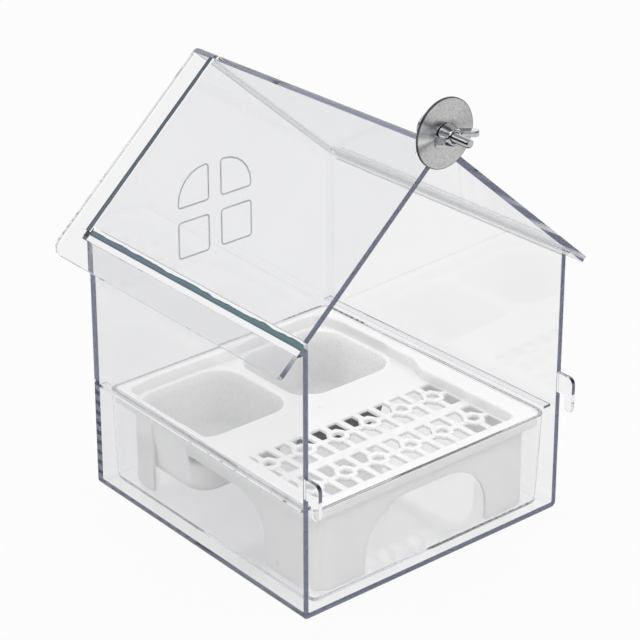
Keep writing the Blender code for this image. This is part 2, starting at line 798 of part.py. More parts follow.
def build_skirt():
    """Front and side walls below the plate, with an arch in each."""
    end = cup_front() + SKIRT_OVERLAP
    low = INSERT_FOOT - CUT_OVERRUN
    top = PLATE_TOP - INSERT_WALL / 2
    walls = bmesh.new()
    prism(walls, skirt_outline(0.0, end), "Z", INSERT_FOOT, top)
    skirt = tool_object("skirt_walls", walls)
    inside = bmesh.new()
    prism(inside, skirt_outline(INSERT_WALL, end + CUT_OVERRUN), "Z", low, top + CUT_OVERRUN)
    combine(skirt, tool_object("skirt_inside", inside), "DIFFERENCE")

    half = FRONT_ARCH_WIDTH / 2
    high = PLATE_BOTTOM - FRONT_ARCH_DROP
    wide = FRONT_ARCH_RADIUS
    front_arch = bmesh.new()
    corners = [(-half, low), (half, low), (half, high), (-half, high)]
    start = skirt_front()
    outline = rounded(corners, [0.0, 0.0, wide, wide], 2 * ARC_STEPS)
    prism(front_arch, outline, "Y", start - CUT_OVERRUN, start + SKIRT_CORNER_RADIUS)
    combine(skirt, tool_object("front_arch", front_arch), "DIFFERENCE")

    side_arch = bmesh.new()
    near = FRONT + SIDE_ARCH_FRONT
    far = end + CUT_OVERRUN
    high = PLATE_BOTTOM - SIDE_ARCH_DROP
    corners = [(near, low), (far, low), (far, high), (near, high)]
    outline = rounded(corners, [0.0, 0.0, 0.0, SIDE_ARCH_RADIUS], 2 * ARC_STEPS)
    reach = HALF_WIDTH
    prism(side_arch, outline, "X", -reach, reach)
    combine(skirt, tool_object("side_arches", side_arch), "DIFFERENCE")

    holes = bmesh.new()
    place = (near - LEG_HOLE_FROM_ARCH, INSERT_FOOT + LEG_HOLE_RISE)
    spot = polygon(place, LEG_HOLE_DIAMETER / 2, SMALL_ROUND_STEPS // 2)
    prism(holes, spot, "X", -reach, reach)
    combine(skirt, tool_object("leg_holes", holes), "DIFFERENCE")
    return skirt


def build_rear_legs():
    """Thin corner legs, flush with the cups, from the plate down to the drawer's floor."""
    legs = bmesh.new()
    insides = bmesh.new()
    top = PLATE_TOP - INSERT_WALL / 2
    for side in (-1, 1):
        prism(legs, leg_outline(side, -INSERT_WALL, 0.0), "Z", INSERT_FOOT, top)
        inside = leg_outline(side, 0.0, CUT_OVERRUN)
        prism(insides, inside, "Z", INSERT_FOOT - CUT_OVERRUN, PLATE_BOTTOM)
    made = tool_object("rear_legs", legs)
    combine(made, tool_object("rear_leg_insides", insides), "DIFFERENCE")
    return made


def leg_outline(side, inset, overlap):
    """Plan of a corner leg, rounded at the insert's outer back corner only."""
    back_x, outer_y = cup_corners(side, inset)[2]
    outer_x = abs(back_x)
    near_x = outer_x - CUP_CORNER_RADIUS - REAR_LEG_RETURN - overlap
    near_y = outer_y - CUP_CORNER_RADIUS - REAR_LEG_LENGTH - overlap
    slope = DRAFT_SLOPE * (outer_y - near_y)
    places = [(near_x, near_y), (outer_x + slope, near_y), (outer_x, outer_y), (near_x, outer_y)]
    return rounded([(side * x, y) for x, y in places], [0.0, 0.0, CUP_CORNER_RADIUS - inset, 0.0])


def band_places():
    """Middle depth of each band of the grille, in the field between the front border and the cups."""
    length = 2 * GRILLE_SLOT_LENGTH + GRILLE_MIDDLE_RAIL
    start = rim_front() + BORDER_WIDTH_FRONT
    free = cup_front() - start - 2 * length
    first = start + free * BAND_SHARES[0] + length / 2
    return first, first + length + free * BAND_SHARES[1]


def grille_pitch():
    """Distance between the grille's columns, from the width of its field."""
    front = rim_front() + BORDER_WIDTH_FRONT
    half = rim_half_width(front, BORDER_WIDTH_BY_GRILLE + GRILLE_SIDE_MARGIN)
    return 2 * half / GRILLE_COLUMNS


def slot_centres():
    """Middle of each grille slot as (x, y)."""
    offset = (GRILLE_MIDDLE_RAIL + GRILLE_SLOT_LENGTH) / 2
    centres = []
    for place in band_places():
        for column in range(GRILLE_COLUMNS):
            x = (column - (GRILLE_COLUMNS - 1) / 2) * grille_pitch()
            centres.append((x, place - offset))
            centres.append((x, place + offset))
    return centres


def ring_centres():
    """Middle of each ring as (x, y), on every second rib of a band."""
    pairs = GRILLE_COLUMNS // 2
    centres = []
    for place in band_places():
        for pair in range(pairs):
            centres.append(((2 * pair - pairs + 1) * grille_pitch(), place))
    return centres


def grille_slots():
    """Cutter for the slots."""
    slots = bmesh.new()
    half_x = GRILLE_SLOT_WIDTH / 2
    half_y = GRILLE_SLOT_LENGTH / 2
    for x, y in slot_centres():
        left, right = x - half_x, x + half_x
        near, far = y - half_y, y + half_y
        outline = [(left, near), (right, near), (right, far), (left, far)]
        prism(slots, outline, "Z", PLATE_BOTTOM - CUT_OVERRUN, PLATE_TOP + CUT_OVERRUN)
    return tool_object("grille_slots", slots)


def grille_rings():
    """Six-sided bosses on the middle rails, a little proud of the plate."""
    rings = bmesh.new()
    for centre in ring_centres():
        outline = polygon(centre, RING_RADIUS, HEXAGON_SIDES)
        prism(rings, outline, "Z", PLATE_BOTTOM + RING_SINK, PLATE_TOP + RING_RAISE)
    return tool_object("grille_rings", rings)


def grille_ring_holes():
    """Cutter for the rings' six-sided holes and for the round gate mark behind the grille."""
    holes = bmesh.new()
    low = PLATE_BOTTOM - CUT_OVERRUN
    high = PLATE_TOP + CUT_OVERRUN
    for centre in ring_centres():
        prism(holes, polygon(centre, RING_HOLE_RADIUS, HEXAGON_SIDES), "Z", low, high)
    spot = (GATE_MARK_SIDE, cup_front() - GATE_MARK_AHEAD)
    mark = polygon(spot, GATE_MARK_DIAMETER / 2, SMALL_ROUND_STEPS // 2)
    prism(holes, mark, "Z", PLATE_TOP - GATE_MARK_DEPTH, high)
    return tool_object("grille_ring_holes", holes)


def main():
    for thing in list(bpy.data.objects):
        bpy.data.objects.remove(thing, do_unlink=True)
    clear = (0.90, 0.91, 0.93)
    build_shell(material("clear_shell", clear, 0.05, alpha=0.35))
    build_roof(material("clear_roof", clear, 0.05, alpha=0.35))
    build_drawer(material("clear_drawer", clear, 0.06, alpha=0.35))
    build_insert(material("white_plastic", (0.86, 0.86, 0.86), 0.35))
    build_screw(material("screw_steel", (0.72, 0.72, 0.73), 0.18, 1.0))
    washer = build_washer(material("washer_steel", (0.60, 0.59, 0.58), 0.32, 1.0))
    nut = build_nut(material("nut_chrome", (0.80, 0.81, 0.82), 0.08, 1.0))
    for thing in (washer, nut):
        set_origin(thing, (0.0, FRONT, CLAMP_AXIS_HEIGHT))


main()
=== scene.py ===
"""Looks of the hang-on bird cage feeder: clear mouldings, a white insert and plated clamp hardware."""
import json
import math

import bmesh
import bpy
from mathutils import Matrix, Vector

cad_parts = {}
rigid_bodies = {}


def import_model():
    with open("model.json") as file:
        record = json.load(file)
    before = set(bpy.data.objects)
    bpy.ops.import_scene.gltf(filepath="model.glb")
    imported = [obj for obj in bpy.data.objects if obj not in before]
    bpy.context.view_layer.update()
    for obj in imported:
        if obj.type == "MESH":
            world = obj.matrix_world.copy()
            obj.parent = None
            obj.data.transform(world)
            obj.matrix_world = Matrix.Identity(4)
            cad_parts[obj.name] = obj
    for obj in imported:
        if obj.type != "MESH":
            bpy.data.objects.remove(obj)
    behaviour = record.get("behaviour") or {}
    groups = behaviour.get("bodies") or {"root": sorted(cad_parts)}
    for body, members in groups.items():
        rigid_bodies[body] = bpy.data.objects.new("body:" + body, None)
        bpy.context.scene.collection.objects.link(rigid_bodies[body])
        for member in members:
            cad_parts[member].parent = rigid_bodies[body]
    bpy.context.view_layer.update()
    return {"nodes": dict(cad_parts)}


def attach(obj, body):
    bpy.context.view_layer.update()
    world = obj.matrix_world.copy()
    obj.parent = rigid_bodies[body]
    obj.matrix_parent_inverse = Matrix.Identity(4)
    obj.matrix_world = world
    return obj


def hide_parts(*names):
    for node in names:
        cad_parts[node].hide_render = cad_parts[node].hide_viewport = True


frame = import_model()
nodes = frame["nodes"]

# Studio: the floor's own colour, the share of plain white backdrop in the floor that the camera sees,
# and the strength of the dome
FLOOR_COLOUR = (0.62, 0.62, 0.62, 1.0)
BACKDROP_SHARE = 0.92
DOME_STRENGTH = 0.78

# Camera, fitted to the photograph: degrees, metres and millimetres of lens
CAMERA_PLACE = (-0.70436, -0.82482, 0.62675)
CAMERA_AZIMUTH = -40.446
CAMERA_ELEVATION = 26.435
CAMERA_LENS = 157.5

SHARP_ANGLE = math.radians(28)
MM = 0.001

# Clear plastic: refractive index, and the colour that its depth keeps
CLEAR_IOR = 1.49
CLEAR_DEPTH_COLOUR = (0.16, 0.20, 0.34, 1.0)

# Washer: weight of the mottle beside the turned rings, and the slope of its painted bright sheen
MOTTLE_SHARE = 1.4
SHEEN_TILT = 0.22

# House, as in the frame
FRONT = -0.0738
BACK = 0.0738
DEPTH = 0.1476
HALF_WIDTH = 0.0730
DRAFT_SLOPE = 0.0036 / DEPTH
DROP_SLOPE = 0.0048 / DEPTH
WALL_HEIGHT = 0.1254
GABLE_RISE = 0.0652
PITCH = GABLE_RISE / HALF_WIDTH
SEAT_GAP = 0.0003
WINDOW_CENTRE = 0.1168
WINDOW_REACH = 0.0230
GROOVE_DEPTH = 0.0004

# Clamp hardware
AXIS_HEIGHT = 0.198554
SCREW_TIP = -0.0898
SCREW_SEAT = -0.0650
SCREW_RADIUS = 0.0020
HEAD_RADIUS = 0.0039
HEAD_HEIGHT = 0.0026
THREAD_PITCH = 0.0007
THREAD_DEPTH = 0.00038
WASHER_RADIUS = 0.0151
WASHER_FRONT = -0.0753
WASHER_THICKNESS = 0.0012
BORE_RADIUS = 0.0023

# Insert, as in the frame
INSERT_TOP = 0.0482
PLATE_TOP = 0.0427
WALL = 0.0016
PLATE_BOTTOM = PLATE_TOP - WALL
LIP_HEIGHT = 0.0053
INSERT_FOOT = 0.0051
CUP_BOTTOM = 0.0112
CUP_DRAFT = 0.0040
CUP_FOOT = 0.0080
CUP_CORNER = 0.0125
OVERRUN = 0.0020
BORDER_BY_CUPS = 0.0050
BORDER_BY_GRILLE = 0.0090
BORDER_FRONT = 0.0050
BORDER_BACK = 0.0030
DRAWER_SIDE = 0.0057
DRAWER_WALL = 0.0018
DRAWER_TOP = 0.0485
DRAWER_BOTTOM = 0.0030
DRAWER_DRAFT = 0.0018
DRAWER_SETBACK = 0.0010
DRAWER_CORNER = 0.0060
INSERT_CLEARANCE = 0.0004
HOUSE_WALL = 0.0026
BACK_CLEARANCE = 0.0006
DRAWER_SLOPE = DRAWER_DRAFT / (DRAWER_TOP - DRAWER_BOTTOM)
RIM_INSET = DRAWER_WALL + INSERT_CLEARANCE + DRAWER_SLOPE * (DRAWER_TOP - (INSERT_TOP - LIP_HEIGHT))
RIM_FRONT = FRONT + DRAWER_SETBACK + RIM_INSET
RIM_BACK = BACK - HOUSE_WALL - BACK_CLEARANCE - RIM_INSET
CUP_MARGIN = 0.0010
CUP_LENGTH = 0.0508
HALF_CUP_SPACING = 0.0026
CUP_BACK = RIM_BACK - BORDER_BACK - CUP_MARGIN
CUP_FRONT = CUP_BACK - CUP_LENGTH
RECESS_CORNER = 0.0060
BORDER_STEP_AHEAD = 0.0137
BORDER_STEP_REACH = 0.0050
BORDER_STEP_RADIUS = 0.0050
SKIRT_INSET = 0.0024
SKIRT_CORNER = 0.0080
SKIRT_OVERLAP = 0.0060
FRONT_ARCH_HALF = 0.0350
FRONT_ARCH_DROP = 0.0051
FRONT_ARCH_RADIUS = 0.0240
SIDE_ARCH_FRONT = 0.0376
SIDE_ARCH_DROP = 0.0061
SIDE_ARCH_RADIUS = 0.0200
LEG_LENGTH = 0.0085
LEG_RETURN = 0.0050
LEG_HOLE_RADIUS = 0.0012
LEG_HOLE_AHEAD = 0.0076
LEG_HOLE_RISE = 0.0044
GRILLE_MARGIN = 0.0003
BAND_SHARES = (0.191, 0.143)
GATE_MARK = (0.0027, 0.0097)
COLUMNS = 12
SLOT_WIDTH = 0.0063
SLOT_LENGTH = 0.0093
MIDDLE_RAIL = 0.0026


def half_width_at(y, inset=0.0):
    return HALF_WIDTH - DRAFT_SLOPE * (y - FRONT) - inset


def roof_under(x, y):
    return WALL_HEIGHT + GABLE_RISE - PITCH * abs(x) - DROP_SLOPE * (y - FRONT)


def rim_half(y, inset):
    return half_width_at(y, DRAWER_SIDE + RIM_INSET + inset)


def camera():
    """The photograph's camera."""
    azimuth = math.radians(CAMERA_AZIMUTH)
    elevation = math.radians(CAMERA_ELEVATION)
    flat = math.cos(elevation)
    back = Vector((math.sin(azimuth) * flat, -math.cos(azimuth) * flat, math.sin(elevation)))
    data = bpy.data.cameras.new("camera")
    data.lens = CAMERA_LENS
    data.sensor_width = 36.0
    data.clip_start = 0.05
    data.clip_end = 20.0
    thing = bpy.data.objects.new("camera", data)
    thing.location = CAMERA_PLACE
    thing.rotation_euler = (-back).to_track_quat("-Z", "Y").to_euler()
    bpy.context.scene.collection.objects.link(thing)
    bpy.context.scene.camera = thing


# Materials

class Nodes:
    """Short calls for building a node tree."""

    def __init__(self, tree):
        self.tree = tree

    def new(self, kind):
        return self.tree.nodes.new(kind)

    def link(self, start, end):
        self.tree.links.new(start, end)

    def math(self, operation, first, second=None):
        """A Math node on values or sockets."""
        node = self.tree.nodes.new("ShaderNodeMath")
        node.operation = operation
        for index, given in enumerate((first, second)):
            if given is None:
                continue
            if isinstance(given, (int, float)):
                node.inputs[index].default_value = given
            else:
                self.link(given, node.inputs[index])
        return node.outputs["Value"]


def new_material(name):
    """An empty material with a Principled shader: (material, node helper, shader, output)."""
    made = bpy.data.materials.new(name)
    made.use_nodes = True
    tree = made.node_tree
    tree.nodes.clear()
    tools = Nodes(tree)
    shader = tools.new("ShaderNodeBsdfPrincipled")
    output = tools.new("ShaderNodeOutputMaterial")
    tools.link(shader.outputs["BSDF"], output.inputs["Surface"])
    return made, tools, shader, output


def coordinates(tools, space):
    """X, Y and Z sockets of a texture coordinate: Object, Normal or Generated."""
    place = tools.new("ShaderNodeTexCoord")
    split = tools.new("ShaderNodeSeparateXYZ")
    tools.link(place.outputs[space], split.inputs["Vector"])
    return split.outputs["X"], split.outputs["Y"], split.outputs["Z"]


def noise(tools, scale, detail=2.0):
    """Noise in object space, in cycles to the metre."""
    place = tools.new("ShaderNodeTexCoord")
    texture = tools.new("ShaderNodeTexNoise")
    texture.inputs["Scale"].default_value = scale
    texture.inputs["Detail"].default_value = detail
    tools.link(place.outputs["Object"], texture.inputs["Vector"])
    return texture.outputs["Fac"]


def line_noise(tools, along, scale, detail):
    """Noise that changes along one value only."""
    texture = tools.new("ShaderNodeTexNoise")
    texture.noise_dimensions = "1D"
    texture.inputs["Scale"].default_value = 1.0
    texture.inputs["Detail"].default_value = detail
    tools.link(tools.math("MULTIPLY", along, scale), texture.inputs["W"])
    return texture.outputs["Fac"]


def ramp(tools, source, stops):
    """Colour ramp on a value."""
    node = tools.new("ShaderNodeValToRGB")
    elements = node.color_ramp.elements
    elements[0].position, elements[0].color = stops[0][0], (*stops[0][1], 1.0)
    elements[1].position, elements[1].color = stops[-1][0], (*stops[-1][1], 1.0)
    for place, colour in stops[1:-1]:
        element = elements.new(place)
        element.color = (*colour, 1.0)
    tools.link(source, node.inputs["Fac"])
    return node.outputs["Color"]


def value_range(tools, source, low, high, start=0.0, end=1.0):
    """Maps start..end to low..high."""
    node = tools.new("ShaderNodeMapRange")
    node.inputs["From Min"].default_value = start
    node.inputs["From Max"].default_value = end
    node.inputs["To Min"].default_value = low
    node.inputs["To Max"].default_value = high
    tools.link(source, node.inputs["Value"])
    return node.outputs["Result"]


def bump(tools, source, distance):
    """Bump of a height in metres."""
    node = tools.new("ShaderNodeBump")
    node.inputs["Distance"].default_value = distance
    tools.link(source, node.inputs["Height"])
    return node.outputs["Normal"]


def times(tools, first, second):
    """Product of two colours."""
    mix = tools.new("ShaderNodeMix")
    mix.data_type = "RGBA"
    mix.blend_type = "MULTIPLY"
    mix.inputs["Factor"].default_value = 1.0
    tools.link(first, mix.inputs[6])
    tools.link(second, mix.inputs[7])
    return mix.outputs[2]


def either(tools, share, first, second):
    """Mix of two shaders."""
    mix = tools.new("ShaderNodeMixShader")
    tools.link(share, mix.inputs["Fac"])
    tools.link(first, mix.inputs[1])
    tools.link(second, mix.inputs[2])
    return mix.outputs["Shader"]


def greys(*stops):
    """Colour stops from (place, grey) pairs."""
    return [(place, (grey, grey, grey)) for place, grey in stops]


def soft_white(shader, scale):
    """Lets light scatter below the surface of white plastic."""
    shader.inputs["Subsurface Weight"].default_value = 1.0
    shader.inputs["Subsurface Radius"].default_value = (1.0, 1.0, 1.0)
    shader.inputs["Subsurface Scale"].default_value = scale


def clear_plastic(name, waviness, density, tint):
    """Clear moulded plastic: faint flow waves on its faces and a blue-grey depth seen along its edges.

    Shadow and diffuse rays pass it untouched, so the pieces inside are lit more than real walls would allow.
    """
    made, tools, shader, output = new_material(name)
    shader.inputs["Transmission Weight"].default_value = 1.0
    shader.inputs["IOR"].default_value = CLEAR_IOR
    cloud = noise(tools, 14.0)
    stops = [(0.3, (tint, tint, tint + 0.002)), (0.7, (tint + 0.012, tint + 0.012, tint + 0.013))]
    tools.link(ramp(tools, cloud, stops), shader.inputs["Base Color"])
    smear = noise(tools, 60.0, 3.0)
    tools.link(value_range(tools, smear, 0.0, 0.03), shader.inputs["Roughness"])
    flow = noise(tools, 22.0, 1.0)
    tools.link(bump(tools, flow, waviness), shader.inputs["Normal"])
    inside = tools.new("ShaderNodeVolumeAbsorption")
    inside.inputs["Color"].default_value = CLEAR_DEPTH_COLOUR
    rays = tools.new("ShaderNodeLightPath")
    through = tools.math("MAXIMUM", rays.outputs["Is Shadow Ray"], rays.outputs["Is Diffuse Ray"])
    seen = tools.math("SUBTRACT", 1.0, through)
    tools.link(tools.math("MULTIPLY", seen, density), inside.inputs["Density"])
    tools.link(inside.outputs["Volume"], output.inputs["Volume"])
    open_side = tools.new("ShaderNodeBsdfTransparent")
    surface = either(tools, through, shader.outputs["BSDF"], open_side.outputs["BSDF"])
    tools.link(surface, output.inputs["Surface"])
    return made


def painted_groove_shade(name):
    """Matt grey floor of the window's moulded outline: painted shade for the dark line that the groove shows in clear
    plastic.
    """
    made, tools, shader, output = new_material(name)
    cloud = noise(tools, 240.0, 2.0)
    stops = [(0.3, (0.36, 0.37, 0.38)), (0.7, (0.54, 0.55, 0.56))]
    tools.link(ramp(tools, cloud, stops), shader.inputs["Base Color"])
    tools.link(value_range(tools, cloud, 0.45, 0.65), shader.inputs["Roughness"])
    return made


def cup_plastic(name):
    """The same plastic inside the cups, with painted shade that makes it darker towards the bottom."""
    made, tools, shader, output = new_material(name)
    x, y, z = coordinates(tools, "Object")
    height = value_range(tools, z, 0.0, 1.0, CUP_BOTTOM, PLATE_TOP)
    # Painted shade: grey from 0.93 at the mouth down to 0.76 at the bottom of the cup.
    stops = greys((0.0, 0.76), (0.8, 0.82), (1.0, 0.93))
    tools.link(ramp(tools, height, stops), shader.inputs["Base Color"])
    soft_white(shader, 2 * MM)
    grain = noise(tools, 900.0, 2.0)
    tools.link(value_range(tools, grain, 0.22, 0.34), shader.inputs["Roughness"])
    tools.link(bump(tools, grain, 0.00002), shader.inputs["Normal"])
    return made


def underside(name):
    """Painted shade on the cups' outside where it faces the grille, for the dark seen through the slots."""
    made, tools, shader, output = new_material(name)
    grain = noise(tools, 400.0, 3.0)
    x, y, z = coordinates(tools, "Object")
    high = value_range(tools, z, 0.0, 1.0, 27 * MM, 31 * MM)
    middle = value_range(tools, x, 0.0, 1.0, 0.0, 4 * MM)
    facing = coordinates(tools, "Normal")
    front = value_range(tools, facing[1], 1.0, 0.0, -0.5, -0.05)
    shaded = tools.math("MULTIPLY", tools.math("MAXIMUM", high, middle), front)
    # Painted shade on front-facing faces high up or right of the middle, broken up by grain.
    painted_dark = tools.math("MULTIPLY", shaded, value_range(tools, grain, 0.8, 1.0))
    stops = [(0.0, (0.90, 0.90, 0.90)), (1.0, (0.16, 0.16, 0.17))]
    tools.link(ramp(tools, painted_dark, stops), shader.inputs["Base Color"])
    shader.inputs["Roughness"].default_value = 0.7
    tools.link(bump(tools, grain, 0.00004), shader.inputs["Normal"])
    return made


def bond(name, front, back, pale, start, widths, sway):
    """A seam's dark line in the clear plastic, straight outside and wavy inside, fitted to the photograph."""
    made, tools, shader, output = new_material(name)
    place = tools.new("ShaderNodeUVMap")
    split = tools.new("ShaderNodeSeparateXYZ")
    tools.link(place.outputs["UV"], split.inputs["Vector"])
    along = split.outputs["X"]
    across = split.outputs["Y"]
    wave = line_noise(tools, along, 9.0, 2.0)
    swing = tools.math("MULTIPLY", tools.math("SUBTRACT", wave, 0.5), value_range(tools, along, *sway))
    width = tools.math("ADD", value_range(tools, along, *widths), swing)
    depth = tools.math("DIVIDE", tools.math("SUBTRACT", across, start), width)
    core = tools.new("ShaderNodeMix")
    core.data_type = "RGBA"
    tools.link(along, core.inputs["Factor"])
    core.inputs[6].default_value = (*front, 1.0)
    core.inputs[7].default_value = (*back, 1.0)
    streak = ramp(tools, depth, greys((0.0, 0.55), (0.25, 0.9), (0.6, 1.3), (1.0, 0.7)))
    inside = tools.math("MULTIPLY", tools.math("GREATER_THAN", depth, 0.0), tools.math("LESS_THAN", depth, 1.0))
    both = tools.new("ShaderNodeMix")
    both.data_type = "RGBA"
    tools.link(inside, both.inputs["Factor"])
    both.inputs[6].default_value = (*pale, 1.0)
    tools.link(times(tools, core.outputs[2], streak), both.inputs[7])
    tools.link(both.outputs[2], shader.inputs["Base Color"])
    shader.inputs["Roughness"].default_value = 0.5
    return made


def white_plastic(name):
    """Satin white moulded plastic with a faint grain and flow shade."""
    made, tools, shader, output = new_material(name)
    cloud = noise(tools, 18.0, 3.0)
    tools.link(ramp(tools, cloud, greys((0.25, 0.895), (0.75, 0.92))), shader.inputs["Base Color"])
    soft_white(shader, 4 * MM)
    grain = noise(tools, 900.0, 2.0)
    tools.link(value_range(tools, grain, 0.30, 0.45), shader.inputs["Roughness"])
    tools.link(bump(tools, grain, 0.00002), shader.inputs["Normal"])
    return made


def plated(name, dark, light, rough):
    """Bright plated metal, with bands painted by how far a face looks up in place of a studio's reflections."""
    made, tools, shader, output = new_material(name)
    shader.inputs["Metallic"].default_value = 1.0
    cloud = noise(tools, 260.0, 3.0)
    facing = coordinates(tools, "Normal")
    upward = value_range(tools, facing[2], 0.0, 1.0, -1.0, 1.0)
    bands = [
        (0.0, (0.015, 0.015, 0.02)),
        (0.28, (0.04, 0.04, 0.045)),
        (0.38, (0.90, 0.90, 0.91)),
        (0.49, (1.0, 1.0, 1.0)),
        (0.56, (0.05, 0.05, 0.06)),
        (0.64, (0.07, 0.07, 0.08)),
        (0.70, (0.95, 0.95, 0.96)),
        (0.83, (1.0, 1.0, 1.0)),
        (0.90, (0.12, 0.12, 0.13)),
        (0.95, (0.16, 0.16, 0.17)),
        (1.0, (0.95, 0.95, 0.96)),
    ]
    metal = ramp(tools, cloud, [(0.3, dark), (0.7, light)])
    tools.link(times(tools, metal, ramp(tools, upward, bands)), shader.inputs["Base Color"])
    tools.link(value_range(tools, cloud, rough * 0.6, rough * 1.5), shader.inputs["Roughness"])
    tools.link(bump(tools, cloud, 0.00002), shader.inputs["Normal"])
    return made


def turned_steel(name):
    """Steel disc with fine turned rings and mottle, and a painted sheen and painted dark rim that stay where they
    are.
    """
    made, tools, shader, output = new_material(name)
    shader.inputs["Metallic"].default_value = 1.0
    x, y, z = coordinates(tools, "Object")
    across = tools.math("MULTIPLY", x, x)
    height = tools.math("SUBTRACT", z, AXIS_HEIGHT)
    upward = tools.math("MULTIPLY", height, height)
    radius = tools.math("SQRT", tools.math("ADD", across, upward))
    rings = line_noise(tools, radius, 2600.0, 3.0)
    mottle = tools.math("MULTIPLY", noise(tools, 900.0, 4.0), MOTTLE_SHARE)
    mixed = tools.math("MULTIPLY", tools.math("ADD", rings, mottle), 0.417)
    stops = [(0.32, (0.52, 0.52, 0.52)), (0.5, (0.72, 0.72, 0.715)), (0.68, (0.86, 0.86, 0.855))]
    steel = ramp(tools, mixed, stops)
    # Painted sheen: bright bands left and right of the hub, tilted by SHEEN_TILT, with darker flanks beside them.
    tilted = tools.math("ADD", height, tools.math("MULTIPLY", x, SHEEN_TILT))
    turn = tools.math("ABSOLUTE", tools.math("ARCTAN2", tilted, x))
    sheen = [
        (0.0, (1.3, 1.3, 1.3)),
        (0.05, (1.0, 1.0, 1.0)),
        (0.10, (0.82, 0.82, 0.82)),
        (0.3, (1.0, 1.0, 1.0)),
        (0.80, (0.98, 0.98, 0.98)),
        (0.87, (0.55, 0.56, 0.57)),
        (0.92, (1.4, 1.4, 1.4)),
        (1.0, (1.9, 1.9, 1.9)),
    ]
    bow = ramp(tools, tools.math("DIVIDE", turn, math.pi), sheen)
    # Painted dark rim along the rolled edge, in place of the dark that the edge reflects.
    rim = [(0.0, (1.0, 1.0, 1.0)), (0.963, (1.0, 1.0, 1.0)), (0.982, (0.20, 0.20, 0.21)), (1.0, (0.12, 0.12, 0.13))]
    edge = ramp(tools, tools.math("DIVIDE", radius, WASHER_RADIUS), rim)
    tools.link(times(tools, times(tools, steel, bow), edge), shader.inputs["Base Color"])
    tools.link(value_range(tools, rings, 0.20, 0.30), shader.inputs["Roughness"])
    tools.link(bump(tools, rings, 0.00001), shader.inputs["Normal"])
    shader.inputs["Anisotropic"].default_value = 0.85
    tangent = tools.new("ShaderNodeTangent")
    tangent.direction_type = "RADIAL"
    tangent.axis = "Y"
    tools.link(tangent.outputs["Tangent"], shader.inputs["Tangent"])
    return made


# Mesh helpers

def rounded(corners, radii, steps=8):
    """Closed outline through the corners, each turned with an arc of its own radius."""
    count = len(corners)
    points = []
    for index in range(count):
        here = Vector(corners[index])
        back = (Vector(corners[index - 1]) - here).normalized()
        ahead = (Vector(corners[(index + 1) % count]) - here).normalized()
        radius = radii[index]
        if radius == 0:
            points.append(here)
            continue
        half_angle = back.angle(ahead) / 2
        reach = radius / math.tan(half_angle)
        bisector = (back + ahead).normalized()
        centre = here + bisector * radius / math.sin(half_angle)
        start = here + back * reach - centre
        sweep = math.pi - 2 * half_angle
        if start.x * (ahead.y - back.y) - start.y * (ahead.x - back.x) < 0:
            sweep = -sweep
        for step in range(steps + 1):
            points.append(centre + Matrix.Rotation(sweep * step / steps, 2) @ start)
    return points


def polygon(centre, radius, sides):
    points = []
    for index in range(sides):
        angle = 2 * math.pi * index / sides
        points.append(Vector(centre) + radius * Vector((math.cos(angle), math.sin(angle))))
    return points


def placed(point, along, level):
    if along == "X":
        return Vector((level, point[0], point[1]))
    if along == "Y":
        return Vector((point[0], level, point[1]))
    return Vector((point[0], point[1], level))


def loft(mesh, rings):
    """Adds one closed body through rings of equally many points."""
    made = [[mesh.verts.new(point) for point in ring] for ring in rings]
    count = len(made[0])
    faces = [mesh.faces.new(made[0]), mesh.faces.new(made[-1])]
    for low, high in zip(made, made[1:]):
        for index in range(count):
            after = (index + 1) % count
            faces.append(mesh.faces.new((low[index], low[after], high[after], high[index])))
    bmesh.ops.recalc_face_normals(mesh, faces=faces)


def prism(mesh, outline, along, low, high):
    loft(mesh, [[placed(point, along, level) for point in outline] for level in (low, high)])


def turned(mesh, profile, steps):
    """Adds a body turned round the clamp's axis from (radius, y) points."""
    rings = []
    for radius, y in profile:
        rings.append([placed(p, "Y", y) for p in polygon((0.0, AXIS_HEIGHT), radius, steps)])
    loft(mesh, rings)


def flare(radius, steps):
    """(depth below the top, outward reach) along a rounded edge, from below to above."""
    points = []
    for step in range(steps + 1):
        angle = math.pi / 2 * step / steps
        points.append((radius * (1 - math.sin(angle)), radius * (1 - math.cos(angle))))
    return points


def thing_from(name, mesh):
    data = bpy.data.meshes.new(name)
    mesh.to_mesh(data)
    mesh.free()
    thing = bpy.data.objects.new(name, data)
    bpy.context.scene.collection.objects.link(thing)
    return thing


def combine(target, tool, operation):
    step = target.modifiers.new(operation.lower() + "_" + tool.name, "BOOLEAN")
    step.object = tool
    step.operation = operation
    step.solver = "EXACT"
    tool.hide_render = True
    return target


def settled(thing):
    """The shape of an object with its modifiers, as a bmesh."""
    view = bpy.context.evaluated_depsgraph_get()
    data = bpy.data.meshes.new_from_object(thing.evaluated_get(view), depsgraph=view)
    mesh = bmesh.new()
    mesh.from_mesh(data)
    bpy.data.meshes.remove(data)
    return mesh


def clear_tools(names):
    for thing in list(bpy.data.objects):
        if thing.name in names:
            bpy.data.objects.remove(thing, do_unlink=True)


def from_node(name):
    mesh = bmesh.new()
    mesh.from_mesh(nodes[name].data)
    bmesh.ops.remove_doubles(mesh, verts=mesh.verts, dist=1e-6)
    return mesh


def soften(mesh, width, segments):
    """Joins flat triangles into faces and rounds the sharp edges."""
    bmesh.ops.dissolve_limit(mesh, angle_limit=math.radians(0.6), verts=mesh.verts, edges=mesh.edges)
    bmesh.ops.remove_doubles(mesh, verts=mesh.verts, dist=0.03 * MM)
    sharp = []
    for edge in mesh.edges:
        if edge.is_manifold and edge.is_convex and edge.calc_face_angle(0.0) > SHARP_ANGLE:
            if roomy(edge, 2.2 * width):
                sharp.append(edge)
    bmesh.ops.bevel(
        mesh, geom=sharp, offset=width, segments=segments, profile=0.5, affect="EDGES", clamp_overlap=False
    )


def roomy(edge, room):
    """True where every edge at both ends of this one is long enough for a rounding."""
    return all(other.calc_length() > room for vert in edge.verts for other in vert.link_edges)


